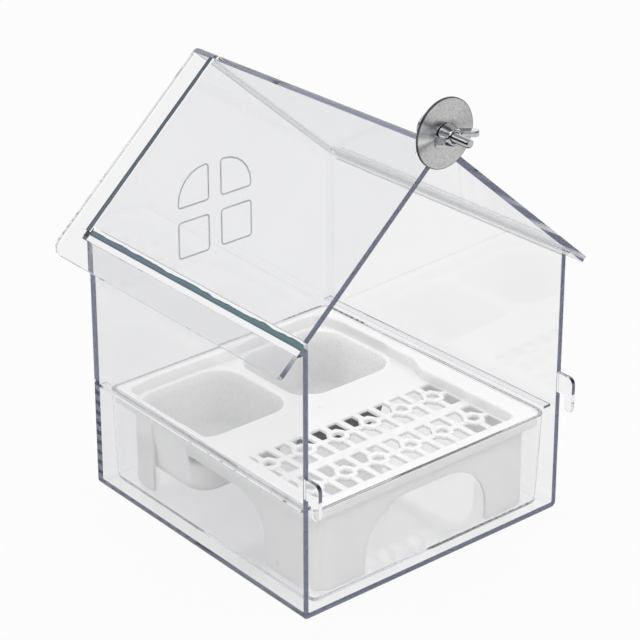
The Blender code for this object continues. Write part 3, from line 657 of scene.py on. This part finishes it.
def corner_normals(mesh):
    """Shading normals by which flat faces stay flat and only the roundings between them turn."""
    areas = [face.calc_area() for face in mesh.faces]
    made = []
    for face in mesh.faces:
        for corner in face.loops:
            total = Vector((0.0, 0.0, 0.0))
            for other in fan(face, corner.vert):
                if other.normal.dot(face.normal) > 0.64:
                    total += other.normal * (areas[other.index] / areas[face.index]) ** 3
            made.append(total.normalized())
    return made


def fan(face, vert):
    """The faces round a vertex that this face reaches over smooth edges."""
    found = [face]
    for at in found:
        for edge in at.edges:
            if edge.smooth and vert in edge.verts:
                found.extend(near for near in edge.link_faces if near not in found)
    return found


def show(mesh, name, looks, body, replaced, sharp=40, weighted=True):
    """A finished piece from a bmesh, which stands for CAD nodes."""
    data = bpy.data.meshes.new(name)
    for face in mesh.faces:
        face.smooth = True
    for edge in mesh.edges:
        edge.smooth = edge.is_manifold and edge.calc_face_angle(0.0) < math.radians(sharp)
    mesh.faces.ensure_lookup_table()
    steady = corner_normals(mesh) if weighted else None
    mesh.to_mesh(data)
    mesh.free()
    for look in looks:
        data.materials.append(look)
    if steady:
        data.normals_split_custom_set(steady)
    piece = bpy.data.objects.new(name, data)
    bpy.context.scene.collection.objects.link(piece)
    if replaced:
        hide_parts(*replaced)
    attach(piece, body)
    return piece


# House

def build_house():
    """Shell and roof, shown as one piece so that light crosses their joint without a surface."""
    shell = from_node("house_shell")
    for vert in shell.verts:
        if vert.co.z > roof_under(vert.co.x, vert.co.y) - 2 * SEAT_GAP:
            vert.co.z += 3 * SEAT_GAP
    roof = from_node("roof")
    for vert in roof.verts:
        side = 1 if vert.co.x > 0 else -1
        off = abs(vert.co.x) - half_width_at(vert.co.y)
        if abs(off - SEAT_GAP) < SEAT_GAP / 4:
            on_slope = abs(vert.co.z - roof_under(vert.co.x, vert.co.y)) < SEAT_GAP
            vert.co.x -= side * 3 * SEAT_GAP
            if on_slope:
                vert.co.z += 3 * SEAT_GAP * PITCH
    body = thing_from("weld_shell", shell)
    combine(body, thing_from("weld_roof", roof), "UNION")
    mesh = settled(body)
    clear_tools(["weld_shell", "weld_roof"])
    bmesh.ops.remove_doubles(mesh, verts=mesh.verts, dist=1e-6)
    soften(mesh, 0.25 * MM, 2)
    # Faces on the floor of the window's groove take the painted grey shade.
    bottom = BACK - 1.2 * GROOVE_DEPTH
    for face in mesh.faces:
        spot = face.calc_center_median()
        in_window = abs(spot.x) < WINDOW_REACH and abs(spot.z - WINDOW_CENTRE) < WINDOW_REACH
        if in_window and bottom < spot.y < BACK - 0.6 * GROOVE_DEPTH and abs(face.normal.y) > 0.5:
            face.material_index = 1
    looks = [clear_plastic("clear_shell", 0.000004, 12.0, 0.936), painted_groove_shade("window_outline")]
    show(mesh, "welded_house", looks, "house", ["house_shell", "roof"])


def build_bonds():
    """Thin coloured seams inside the roof where the walls meet it, which the CAD doesn't have."""
    steps = 48
    teal = (0.060, 0.150, 0.160)
    steel = (0.075, 0.125, 0.180)
    pale = (0.93, 0.92, 0.93)
    faint = (0.80, 0.82, 0.84)
    for name, side, front, back in (("left_bond", -1, teal, steel), ("right_bond", 1, faint, faint)):
        rings = []
        for step in range(steps + 1):
            y = FRONT + MM + step / steps * (DEPTH - 4.5 * MM)
            outer = half_width_at(y) + 2.75 * MM
            rings.append(seam_ring([(side * outer, y), (side * (outer - 4.7 * MM), y)]))
        show_seams(name, [rings], [bond(name, front, back, pale, 0.404, (0.40, 0.40), (0.60, 0.12))])
    seams = []
    for side in (-1, 1):
        rings = []
        for step in range(steps + 1):
            x = side * (half_width_at(BACK) - 0.1 * MM) * (1 - step / steps)
            rings.append(seam_ring([(x, BACK + 0.9 * MM), (x, BACK - 2.8 * MM)]))
        seams.append(rings)
    looks = [bond("gable_bond", (0.065, 0.095, 0.13), (0.025, 0.055, 0.085), pale, 0.03, (0.75, 0.62), (0.15, 0.2))]
    show_seams("gable_bond", seams, looks)


def seam_ring(ends):
    """Section of a seam between two places, just under the roof."""
    high = [Vector((x, y, roof_under(x, y) + 0.55 * MM)) for x, y in ends]
    low = [spot - Vector((0.0, 0.0, 0.1 * MM)) for spot in reversed(high)]
    return high + low


def show_seams(name, seams, looks):
    """Seams as one piece, with the share along and across each seam as UV."""
    mesh = bmesh.new()
    for rings in seams:
        loft(mesh, rings)
    layer = mesh.loops.layers.uv.verify()
    places = {}
    for rings in seams:
        for step, ring in enumerate(rings):
            for index, spot in enumerate(ring):
                places[spot.to_tuple(6)] = (step / (len(rings) - 1), 0.0 if index in (0, 3) else 1.0)
    for face in mesh.faces:
        for corner in face.loops:
            corner[layer].uv = places[corner.vert.co.to_tuple(6)]
    show(mesh, name, looks, "house", [], 40, False)


def build_drawer():
    mesh = from_node("feeding_drawer")
    soften(mesh, 0.35 * MM, 3)
    looks = [clear_plastic("clear_drawer", 0.00002, 1.5, 0.975)]
    show(mesh, "drawer_moulding", looks, "drawer", ["feeding_drawer"])


# Insert

def drawer_plan(inset):
    front = FRONT + DRAWER_SETBACK + inset
    back = BACK - HOUSE_WALL - BACK_CLEARANCE - inset
    wide = half_width_at(front, DRAWER_SIDE + inset)
    narrow = half_width_at(back, DRAWER_SIDE + inset)
    corners = [(-wide, front), (wide, front), (narrow, back), (-narrow, back)]
    return rounded(corners, [max(DRAWER_CORNER - inset, DRAWER_WALL)] * 4)


def rim_plan(inset):
    return drawer_plan(RIM_INSET + inset)


def recess_plan(grow):
    """Plan of the sunk area inside the raised border, wider beside the cups."""
    front = RIM_FRONT + BORDER_FRONT - grow
    back = RIM_BACK - BORDER_BACK + grow
    step = CUP_FRONT - BORDER_STEP_AHEAD
    ends = (step - BORDER_STEP_REACH, step + BORDER_STEP_REACH)
    places = [
        (rim_half(front, BORDER_BY_GRILLE - grow), front),
        (rim_half(ends[0], BORDER_BY_GRILLE - grow), ends[0]),
        (rim_half(ends[1], BORDER_BY_CUPS - grow), ends[1]),
        (rim_half(back, BORDER_BY_CUPS - grow), back),
    ]
    corners = places + [(-x, y) for x, y in reversed(places)]
    half = [RECESS_CORNER, BORDER_STEP_RADIUS, BORDER_STEP_RADIUS, RECESS_CORNER]
    return rounded(corners, half + half)


def cup_corners(side, inset):
    front = CUP_FRONT + inset
    back = CUP_BACK - inset
    near = HALF_CUP_SPACING + inset
    margin = BORDER_BY_CUPS + CUP_MARGIN + inset
    return [
        (side * near, front),
        (side * rim_half(front, margin), front),
        (side * rim_half(back, margin), back),
        (side * near, back),
    ]


def cup_ring(side, inset, z):
    radius = max(CUP_CORNER - inset / 2, WALL)
    return [placed(p, "Z", z) for p in rounded(cup_corners(side, inset), [radius] * 4)]


def cup_draft(z):
    return CUP_DRAFT * (PLATE_TOP - z) / (PLATE_TOP - CUP_BOTTOM)


def cup_rings(side, bottom, grow, foot, steps=12):
    """Rings of a cup's rounded bottom, from below."""
    rings = []
    for step in range(steps + 1):
        angle = math.pi / 2 * step / steps
        z = bottom + foot * (1 - math.cos(angle))
        inset = cup_draft(z) + foot * (1 - math.sin(angle)) - grow
        rings.append(cup_ring(side, inset, z))
    return rings


def skirt_plan(inset, back):
    front = RIM_FRONT + SKIRT_INSET + inset
    margin = BORDER_BY_CUPS + CUP_MARGIN - WALL + inset
    wide = rim_half(front, margin)
    narrow = rim_half(back, margin)
    corners = [(-wide, front), (wide, front), (narrow, back), (-narrow, back)]
    return rounded(corners, [SKIRT_CORNER - inset, SKIRT_CORNER - inset, 0.0, 0.0], 12)


def skirt():
    """Front and side walls below the plate, with an arch in each."""
    end = CUP_FRONT + SKIRT_OVERLAP
    low = INSERT_FOOT - OVERRUN
    top = PLATE_TOP - WALL / 2
    mesh = bmesh.new()
    prism(mesh, skirt_plan(0.0, end), "Z", INSERT_FOOT, top)
    made = thing_from("tool_skirt", mesh)
    mesh = bmesh.new()
    prism(mesh, skirt_plan(WALL, end + OVERRUN), "Z", low, top + OVERRUN)
    combine(made, thing_from("tool_skirt_inside", mesh), "DIFFERENCE")
    mesh = bmesh.new()
    high = PLATE_BOTTOM - FRONT_ARCH_DROP
    half = FRONT_ARCH_HALF
    arch = rounded([(-half, low), (half, low), (half, high), (-half, high)], [0.0, 0.0] + [FRONT_ARCH_RADIUS] * 2, 24)
    start = RIM_FRONT + SKIRT_INSET
    prism(mesh, arch, "Y", start - OVERRUN, start + SKIRT_CORNER)
    combine(made, thing_from("tool_front_arch", mesh), "DIFFERENCE")
    mesh = bmesh.new()
    near = FRONT + SIDE_ARCH_FRONT
    high = PLATE_BOTTOM - SIDE_ARCH_DROP
    corners = [(near, low), (end + OVERRUN, low), (end + OVERRUN, high), (near, high)]
    prism(mesh, rounded(corners, [0.0, 0.0, 0.0, SIDE_ARCH_RADIUS], 24), "X", -HALF_WIDTH, HALF_WIDTH)
    combine(made, thing_from("tool_side_arch", mesh), "DIFFERENCE")
    mesh = bmesh.new()
    hole = polygon((near - LEG_HOLE_AHEAD, INSERT_FOOT + LEG_HOLE_RISE), LEG_HOLE_RADIUS, 24)
    prism(mesh, hole, "X", -HALF_WIDTH, HALF_WIDTH)
    return combine(made, thing_from("tool_leg_holes", mesh), "DIFFERENCE")


def leg_plan(side, inset, overlap):
    back_x, outer_y = cup_corners(side, inset)[2]
    outer_x = abs(back_x)
    near_x = outer_x - CUP_CORNER - LEG_RETURN - overlap
    near_y = outer_y - CUP_CORNER - LEG_LENGTH - overlap
    slope = DRAFT_SLOPE * (outer_y - near_y)
    places = [(near_x, near_y), (outer_x + slope, near_y), (outer_x, outer_y), (near_x, outer_y)]
    return rounded([(side * x, y) for x, y in places], [0.0, 0.0, CUP_CORNER - inset, 0.0])


def rear_legs():
    legs = bmesh.new()
    insides = bmesh.new()
    for side in (-1, 1):
        prism(legs, leg_plan(side, -WALL, 0.0), "Z", INSERT_FOOT, PLATE_TOP - WALL / 2)
        prism(insides, leg_plan(side, 0.0, OVERRUN), "Z", INSERT_FOOT - OVERRUN, PLATE_BOTTOM)
    made = thing_from("tool_legs", legs)
    return combine(made, thing_from("tool_leg_insides", insides), "DIFFERENCE")


def band_places():
    length = 2 * SLOT_LENGTH + MIDDLE_RAIL
    start = RIM_FRONT + BORDER_FRONT
    free = CUP_FRONT - start - 2 * length
    first = start + free * BAND_SHARES[0] + length / 2
    return first, first + length + free * BAND_SHARES[1]


def pitch():
    return 2 * rim_half(RIM_FRONT + BORDER_FRONT, BORDER_BY_GRILLE + GRILLE_MARGIN) / COLUMNS


def grille():
    """Cutters and bosses of the grille: slots, rings, and the rings' holes with the gate mark."""
    slots = bmesh.new()
    rings = bmesh.new()
    holes = bmesh.new()
    low = PLATE_BOTTOM - OVERRUN
    for place in band_places():
        for column in range(COLUMNS):
            x = (column - (COLUMNS - 1) / 2) * pitch()
            for way in (-1, 1):
                y = place + way * (MIDDLE_RAIL + SLOT_LENGTH) / 2
                levels = [(low, 0.0)] + [(PLATE_TOP - d, out) for d, out in flare(0.35 * MM, 3)]
                levels.append((PLATE_TOP + OVERRUN, 0.35 * MM))
                body = []
                for z, out in levels:
                    half_x = SLOT_WIDTH / 2 + out
                    half_y = SLOT_LENGTH / 2 + out
                    corners = [(x - half_x, y - half_y), (x + half_x, y - half_y)]
                    corners += [(x + half_x, y + half_y), (x - half_x, y + half_y)]
                    body.append([placed(p, "Z", z) for p in rounded(corners, [0.5 * MM] * 4, 3)])
                loft(slots, body)
        for pair in range(COLUMNS // 2):
            centre = ((2 * pair - COLUMNS // 2 + 1) * pitch(), place)
            levels = [(PLATE_BOTTOM + 0.3 * MM, 0.0), (PLATE_TOP + 0.25 * MM, 0.0)]
            levels += [(PLATE_TOP + 0.5 * MM, 0.1 * MM), (PLATE_TOP + 0.6 * MM, 0.35 * MM)]
            loft(rings, [[placed(p, "Z", z) for p in polygon(centre, 5.5 * MM - cut, 6)] for z, cut in levels])
            levels = [(low, 0.0), (PLATE_TOP + 0.25 * MM, 0.0)]
            levels += [(PLATE_TOP + 0.5 * MM, 0.1 * MM), (PLATE_TOP + 0.6 * MM, 0.3 * MM)]
            levels.append((PLATE_TOP + OVERRUN, 0.3 * MM))
            loft(holes, [[placed(p, "Z", z) for p in polygon(centre, 3.0 * MM + out, 6)] for z, out in levels])
    spot = (GATE_MARK[0], CUP_FRONT - GATE_MARK[1])
    levels = [(-0.80, 0.25), (-0.72, 0.70), (-0.50, 1.10), (-0.20, 1.38), (0.0, 1.50), (1.0, 1.50)]
    loft(holes, [[placed(p, "Z", PLATE_TOP + z * MM) for p in polygon(spot, r * MM, 24)] for z, r in levels])
    return slots, rings, holes


def build_insert():
    """White moulding with softened rim, recess and cup mouths."""
    mesh = bmesh.new()
    levels = [(PLATE_BOTTOM, 0.0)]
    levels += [(INSERT_TOP - 0.8 * MM + 0.8 * MM * math.sin(a), 0.8 * MM * (1 - math.cos(a)))
               for a in (math.pi / 2 * step / 5 for step in range(6))]
    loft(mesh, [[placed(p, "Z", z) for p in rim_plan(inset)] for z, inset in levels])
    made = thing_from("tool_insert", mesh)

    lip = INSERT_TOP - LIP_HEIGHT
    steps = [(PLATE_BOTTOM - OVERRUN, -OVERRUN), (lip, -OVERRUN), (lip, WALL), (INSERT_TOP - WALL, WALL)]
    mesh = bmesh.new()
    loft(mesh, [[placed(p, "Z", z) for p in rim_plan(inset)] for z, inset in steps])
    space = thing_from("tool_border_space", mesh)
    mesh = bmesh.new()
    prism(mesh, recess_plan(WALL), "Z", PLATE_BOTTOM, INSERT_TOP + OVERRUN)
    combine(space, thing_from("tool_border_kept", mesh), "DIFFERENCE")
    combine(made, space, "DIFFERENCE")
    combine(made, skirt(), "UNION")

    mesh = bmesh.new()
    for side in (-1, 1):
        rings = cup_rings(side, CUP_BOTTOM - WALL, WALL, CUP_FOOT + WALL)
        top = PLATE_TOP - WALL / 2
        rings.append(cup_ring(side, cup_draft(top) - WALL, top))
        loft(mesh, rings)
    combine(made, thing_from("tool_cups", mesh), "UNION")
    combine(made, rear_legs(), "UNION")

    mesh = bmesh.new()
    levels = [(PLATE_TOP, 0.0)] + [(INSERT_TOP - d, out) for d, out in flare(1.4 * MM, 6)]
    levels.append((INSERT_TOP + OVERRUN, 1.4 * MM))
    loft(mesh, [[placed(p, "Z", z) for p in recess_plan(out)] for z, out in levels])
    combine(made, thing_from("tool_recess", mesh), "DIFFERENCE")

    mesh = bmesh.new()
    for side in (-1, 1):
        rings = cup_rings(side, CUP_BOTTOM, 0.0, CUP_FOOT)
        for d, out in flare(1.3 * MM, 6):
            z = PLATE_TOP - d
            rings.append(cup_ring(side, cup_draft(z) - out, z))
        for d, out in flare(1.0 * MM, 5):
            rings.append(cup_ring(side, -1.8 * MM - out, INSERT_TOP - d))
        rings.append(cup_ring(side, -2.8 * MM, INSERT_TOP + OVERRUN))
        loft(mesh, rings)
    combine(made, thing_from("tool_hollows", mesh), "DIFFERENCE")
    slots, rings, holes = grille()
    combine(made, thing_from("tool_slots", slots), "DIFFERENCE")
    combine(made, thing_from("tool_rings", rings), "UNION")
    combine(made, thing_from("tool_holes", holes), "DIFFERENCE")
    mesh = settled(made)
    clear_tools([thing.name for thing in bpy.data.objects if thing.name.startswith("tool_")])
    bmesh.ops.remove_doubles(mesh, verts=mesh.verts, dist=1e-6)
    # Faces inside the cups take the cup material and its painted shade.
    middle = (CUP_FRONT + CUP_BACK) / 2
    for face in mesh.faces:
        spot = face.calc_center_median()
        if not (CUP_FRONT - MM < spot.y < CUP_BACK + MM and spot.z < PLATE_TOP - 0.02 * MM):
            continue
        side = 1 if spot.x > 0 else -1
        inward = Vector((side * 0.0300 - spot.x, middle - spot.y, 2 * PLATE_TOP - spot.z))
        if spot.z > CUP_BOTTOM - 0.5 * MM and face.normal.dot(inward) > 0 and inside_cup(spot):
            face.material_index = 1
    # Faces below the plate that face the grille take the painted shade material.
    for face in mesh.faces:
        spot = face.calc_center_median()
        ahead = CUP_FRONT - 2.5 * MM < spot.y < CUP_FRONT + CUP_FOOT + 4 * MM
        hanging = CUP_BOTTOM - 2 * MM < spot.z < PLATE_BOTTOM
        if ahead and hanging and face.normal.y < -0.3 and not face.material_index:
            face.material_index = 2
    looks = [white_plastic("white_plastic"), cup_plastic("cup_inside"), underside("under_plate")]
    show(mesh, "insert_moulding", looks, "insert", ["feeding_insert"])


def inside_cup(spot):
    """True within the plan of a cup's mouth."""
    margin = BORDER_BY_CUPS + CUP_MARGIN - MM
    return HALF_CUP_SPACING - MM < abs(spot.x) < rim_half(spot.y, margin)


# Clamp hardware

def build_washer():
    """Large flat disc with rolled edges and a clean bore."""
    mesh = bmesh.new()
    back = WASHER_FRONT + WASHER_THICKNESS
    round_edge = 0.35 * MM
    profile = [(WASHER_RADIUS - round_edge + round_edge * math.sin(a), WASHER_FRONT + round_edge * (1 - math.cos(a)))
               for a in (math.pi / 2 * step / 5 for step in range(6))]
    profile += [(r, WASHER_FRONT + back - y) for r, y in reversed(profile)]
    turned(mesh, profile, 128)
    made = thing_from("tool_washer", mesh)
    mesh = bmesh.new()
    prism(mesh, polygon((0.0, AXIS_HEIGHT), BORE_RADIUS, 48), "Y", WASHER_FRONT - OVERRUN, back + OVERRUN)
    combine(made, thing_from("tool_washer_bore", mesh), "DIFFERENCE")
    mesh = settled(made)
    clear_tools(["tool_washer", "tool_washer_bore"])
    show(mesh, "washer_disc", [turned_steel("washer_steel")], "washer", ["clamp_washer"])


def build_nut():
    """Cast wing nut: hub and wings run together with soft fillets."""
    source = thing_from("tool_nut", from_node("wing_nut"))
    blend = source.modifiers.new("cast", "REMESH")
    blend.mode = "VOXEL"
    blend.voxel_size = 0.22 * MM
    soft = source.modifiers.new("soft", "SMOOTH")
    soft.factor = 0.5
    soft.iterations = 8
    mesh = settled(source)
    clear_tools(["tool_nut"])
    chrome = plated("nut_chrome", (0.72, 0.73, 0.75), (0.88, 0.89, 0.90), 0.05)
    show(mesh, "wing_nut_body", [chrome], "nut", ["wing_nut"], 80, False)


def build_screw():
    """Machine screw with a helical thread, which the CAD's plain shank lacks, a domed head and a cross recess."""
    steps = 32
    length = SCREW_SEAT - SCREW_TIP
    count = int(length / (THREAD_PITCH / 8))
    rings = []
    for index in range(count + 1):
        y = SCREW_TIP + length * index / count
        start = min(1.0, (y - SCREW_TIP) / (1.5 * THREAD_PITCH))
        ring = []
        for turn in range(steps):
            angle = 2 * math.pi * turn / steps
            phase = (y / THREAD_PITCH + turn / steps) % 1.0
            crest = abs(2 * phase - 1)
            crest = min(1.0, max(0.0, 1.15 * crest - 0.05))
            radius = SCREW_RADIUS - THREAD_DEPTH * (1 - crest) - 0.35 * MM * (1 - start)
            ring.append(Vector((radius * math.cos(angle), y, AXIS_HEIGHT + radius * math.sin(angle))))
        rings.append(ring)
    top = SCREW_SEAT + HEAD_HEIGHT
    crown = 0.9 * MM
    profile = [(HEAD_RADIUS - 0.15 * MM, SCREW_SEAT), (HEAD_RADIUS, SCREW_SEAT + 0.15 * MM)]
    for step in range(7):
        angle = math.pi / 2 * step / 6
        profile.append((HEAD_RADIUS - 2 * crown * (1 - math.cos(angle)), top - crown + crown * math.sin(angle)))
    for radius, y in profile:
        rings.append([placed(p, "Y", y) for p in polygon((0.0, AXIS_HEIGHT), radius, steps)])
    mesh = bmesh.new()
    loft(mesh, rings)
    made = thing_from("tool_screw", mesh)
    slot = 0.5 * MM
    reach = 2.2 * MM
    cross = [(-slot, -reach), (slot, -reach), (slot, -slot)]
    cross += [(reach, -slot), (reach, slot), (slot, slot)]
    cross += [(-x, -z) for x, z in cross]
    mesh = bmesh.new()
    prism(mesh, [Vector((x, AXIS_HEIGHT + z)) for x, z in cross], "Y", top - 1.2 * MM, top + OVERRUN)
    combine(made, thing_from("tool_screw_recess", mesh), "DIFFERENCE")
    mesh = settled(made)
    clear_tools(["tool_screw", "tool_screw_recess"])
    bright = plated("screw_steel", (0.66, 0.66, 0.67), (0.80, 0.80, 0.81), 0.12)
    show(mesh, "screw_body", [bright], "house", ["clamp_screw"], 35, False)


# Studio

def floor():
    """Pale floor that the camera sees mostly as a plain white backdrop, so the object's shadow on it is faint."""
    mesh = bmesh.new()
    bmesh.ops.create_grid(mesh, x_segments=1, y_segments=1, size=6.0)
    data = bpy.data.meshes.new("floor")
    mesh.to_mesh(data)
    mesh.free()
    made, tools, shader, output = new_material("floor")
    shader.inputs["Base Color"].default_value = FLOOR_COLOUR
    shader.inputs["Roughness"].default_value = 0.9
    white = tools.new("ShaderNodeEmission")
    white.inputs["Strength"].default_value = 1.0
    share = tools.math("MULTIPLY", seen_by_camera(tools), BACKDROP_SHARE)
    surface = either(tools, share, shader.outputs["BSDF"], white.outputs["Emission"])
    tools.link(surface, output.inputs["Surface"])
    data.materials.append(made)
    thing = bpy.data.objects.new("floor", data)
    thing.location = (0.0, 0.0, -0.0002)
    bpy.context.scene.collection.objects.link(thing)


def seen_by_camera(tools):
    """1 for what the camera sees, also through glass."""
    rays = tools.new("ShaderNodeLightPath")
    clear = tools.math("MAXIMUM", rays.outputs["Is Camera Ray"], rays.outputs["Is Transmission Ray"])
    return tools.math("MULTIPLY", clear, tools.math("LESS_THAN", rays.outputs["Diffuse Depth"], 0.5))


def by_height(tools, stops):
    """A shade that runs from below to above."""
    x, y, z = coordinates(tools, "Generated")
    return ramp(tools, value_range(tools, z, 0.0, 1.0, -1.0, 1.0), stops)


def toward(tools, x_share, y_share, start, end):
    """0 to 1 along a level direction of the world."""
    x, y, z = coordinates(tools, "Generated")
    across = tools.math("MULTIPLY", x, x_share)
    along = tools.math("MULTIPLY", y, y_share)
    return value_range(tools, tools.math("ADD", across, along), 0.0, 1.0, start, end)


def background(tools, colour, strength):
    """Background shader of a colour socket."""
    back = tools.new("ShaderNodeBackground")
    tools.link(colour, back.inputs["Color"])
    back.inputs["Strength"].default_value = strength
    return back.outputs["Background"]


def dome(tools):
    """The dome that lights: dim from the sides, bright above, a little brighter on the right and behind."""
    shade = by_height(tools, [(0.0, (0.45, 0.45, 0.46)), (0.5, (0.45, 0.45, 0.46)), (0.82, (1.52, 1.52, 1.52))])
    lean = ramp(tools, toward(tools, 0.6, 0.4, -1.0, 1.0), greys((0.0, 0.93), (1.0, 1.07)))
    return background(tools, times(tools, shade, lean), DOME_STRENGTH)


def mirrored_room(tools):
    """The room that metal mirrors: bands and dark upright flags on the camera's side, plain white behind."""
    bands = by_height(tools, [
        (0.0, (0.50, 0.51, 0.53)),
        (0.44, (0.20, 0.21, 0.24)),
        (0.56, (0.04, 0.05, 0.06)),
        (0.64, (0.30, 0.31, 0.34)),
        (0.70, (1.0, 1.0, 1.0)),
        (0.77, (0.10, 0.11, 0.13)),
        (0.86, (0.70, 0.70, 0.72)),
        (0.95, (1.0, 1.0, 1.0)),
    ])
    flags = ramp(tools, toward(tools, 1.0, 0.0, -1.0, 1.0), [
        (0.0, (0.75, 0.75, 0.75)),
        (0.12, (0.20, 0.20, 0.21)),
        (0.22, (1.0, 1.0, 1.0)),
        (0.40, (1.0, 1.0, 1.0)),
        (0.47, (0.18, 0.18, 0.20)),
        (0.60, (0.95, 0.95, 0.95)),
        (0.80, (0.25, 0.25, 0.27)),
        (0.9, (1.0, 1.0, 1.0)),
    ])
    mix = tools.new("ShaderNodeMix")
    mix.data_type = "RGBA"
    tools.link(toward(tools, 0.649, 0.761, -0.15, 0.20), mix.inputs["Factor"])
    tools.link(times(tools, bands, flags), mix.inputs[6])
    mix.inputs[7].default_value = (0.95, 0.95, 0.96, 1.0)
    return background(tools, mix.outputs[2], 1.0)


def world():
    """Soft white studio: a dome that lights, a banded room that mirrors, and a white backdrop."""
    made = bpy.data.worlds.new("studio")
    made.use_nodes = True
    made.node_tree.nodes.clear()
    tools = Nodes(made.node_tree)
    output = tools.new("ShaderNodeOutputWorld")
    seen = tools.new("ShaderNodeBackground")
    seen.inputs["Color"].default_value = (1.0, 1.0, 1.0, 1.0)
    seen.inputs["Strength"].default_value = 1.0
    rays = tools.new("ShaderNodeLightPath")
    bounced = tools.math("GREATER_THAN", rays.outputs["Glossy Depth"], 0.5)
    outside = tools.math("SUBTRACT", 1.0, rays.outputs["Is Transmission Ray"])
    in_mirror = tools.math("MULTIPLY", bounced, outside)
    looked_at = either(tools, in_mirror, seen.outputs["Background"], mirrored_room(tools))
    lighting = tools.math("GREATER_THAN", rays.outputs["Diffuse Depth"], 0.5)
    tools.link(either(tools, lighting, looked_at, dome(tools)), output.inputs["Surface"])
    bpy.context.scene.world = made


def lamp(name, place, target, size, power):
    """A square soft lamp."""
    data = bpy.data.lights.new(name, "AREA")
    data.shape = "SQUARE"
    data.size = size
    data.energy = power
    thing = bpy.data.objects.new(name, data)
    thing.location = place
    thing.rotation_euler = (Vector(target) - Vector(place)).to_track_quat("-Z", "Y").to_euler()
    bpy.context.scene.collection.objects.link(thing)


def settings():
    """Enough light bounces for clear walls behind clear walls and for a white hollow moulding."""
    scene = bpy.context.scene
    scene.view_settings.view_transform = "Standard"
    scene.cycles.max_bounces = 64
    scene.cycles.transmission_bounces = 64
    scene.cycles.glossy_bounces = 64
    scene.cycles.diffuse_bounces = 16
    scene.cycles.transparent_max_bounces = 32


def main():
    camera()
    settings()
    world()
    floor()
    lamp("key", (-0.9, -1.2, 1.6), (0.0, 0.0, 0.1), 1.2, 4.0)
    build_house()
    build_bonds()
    build_drawer()
    build_insert()
    build_washer()
    build_nut()
    build_screw()


main()
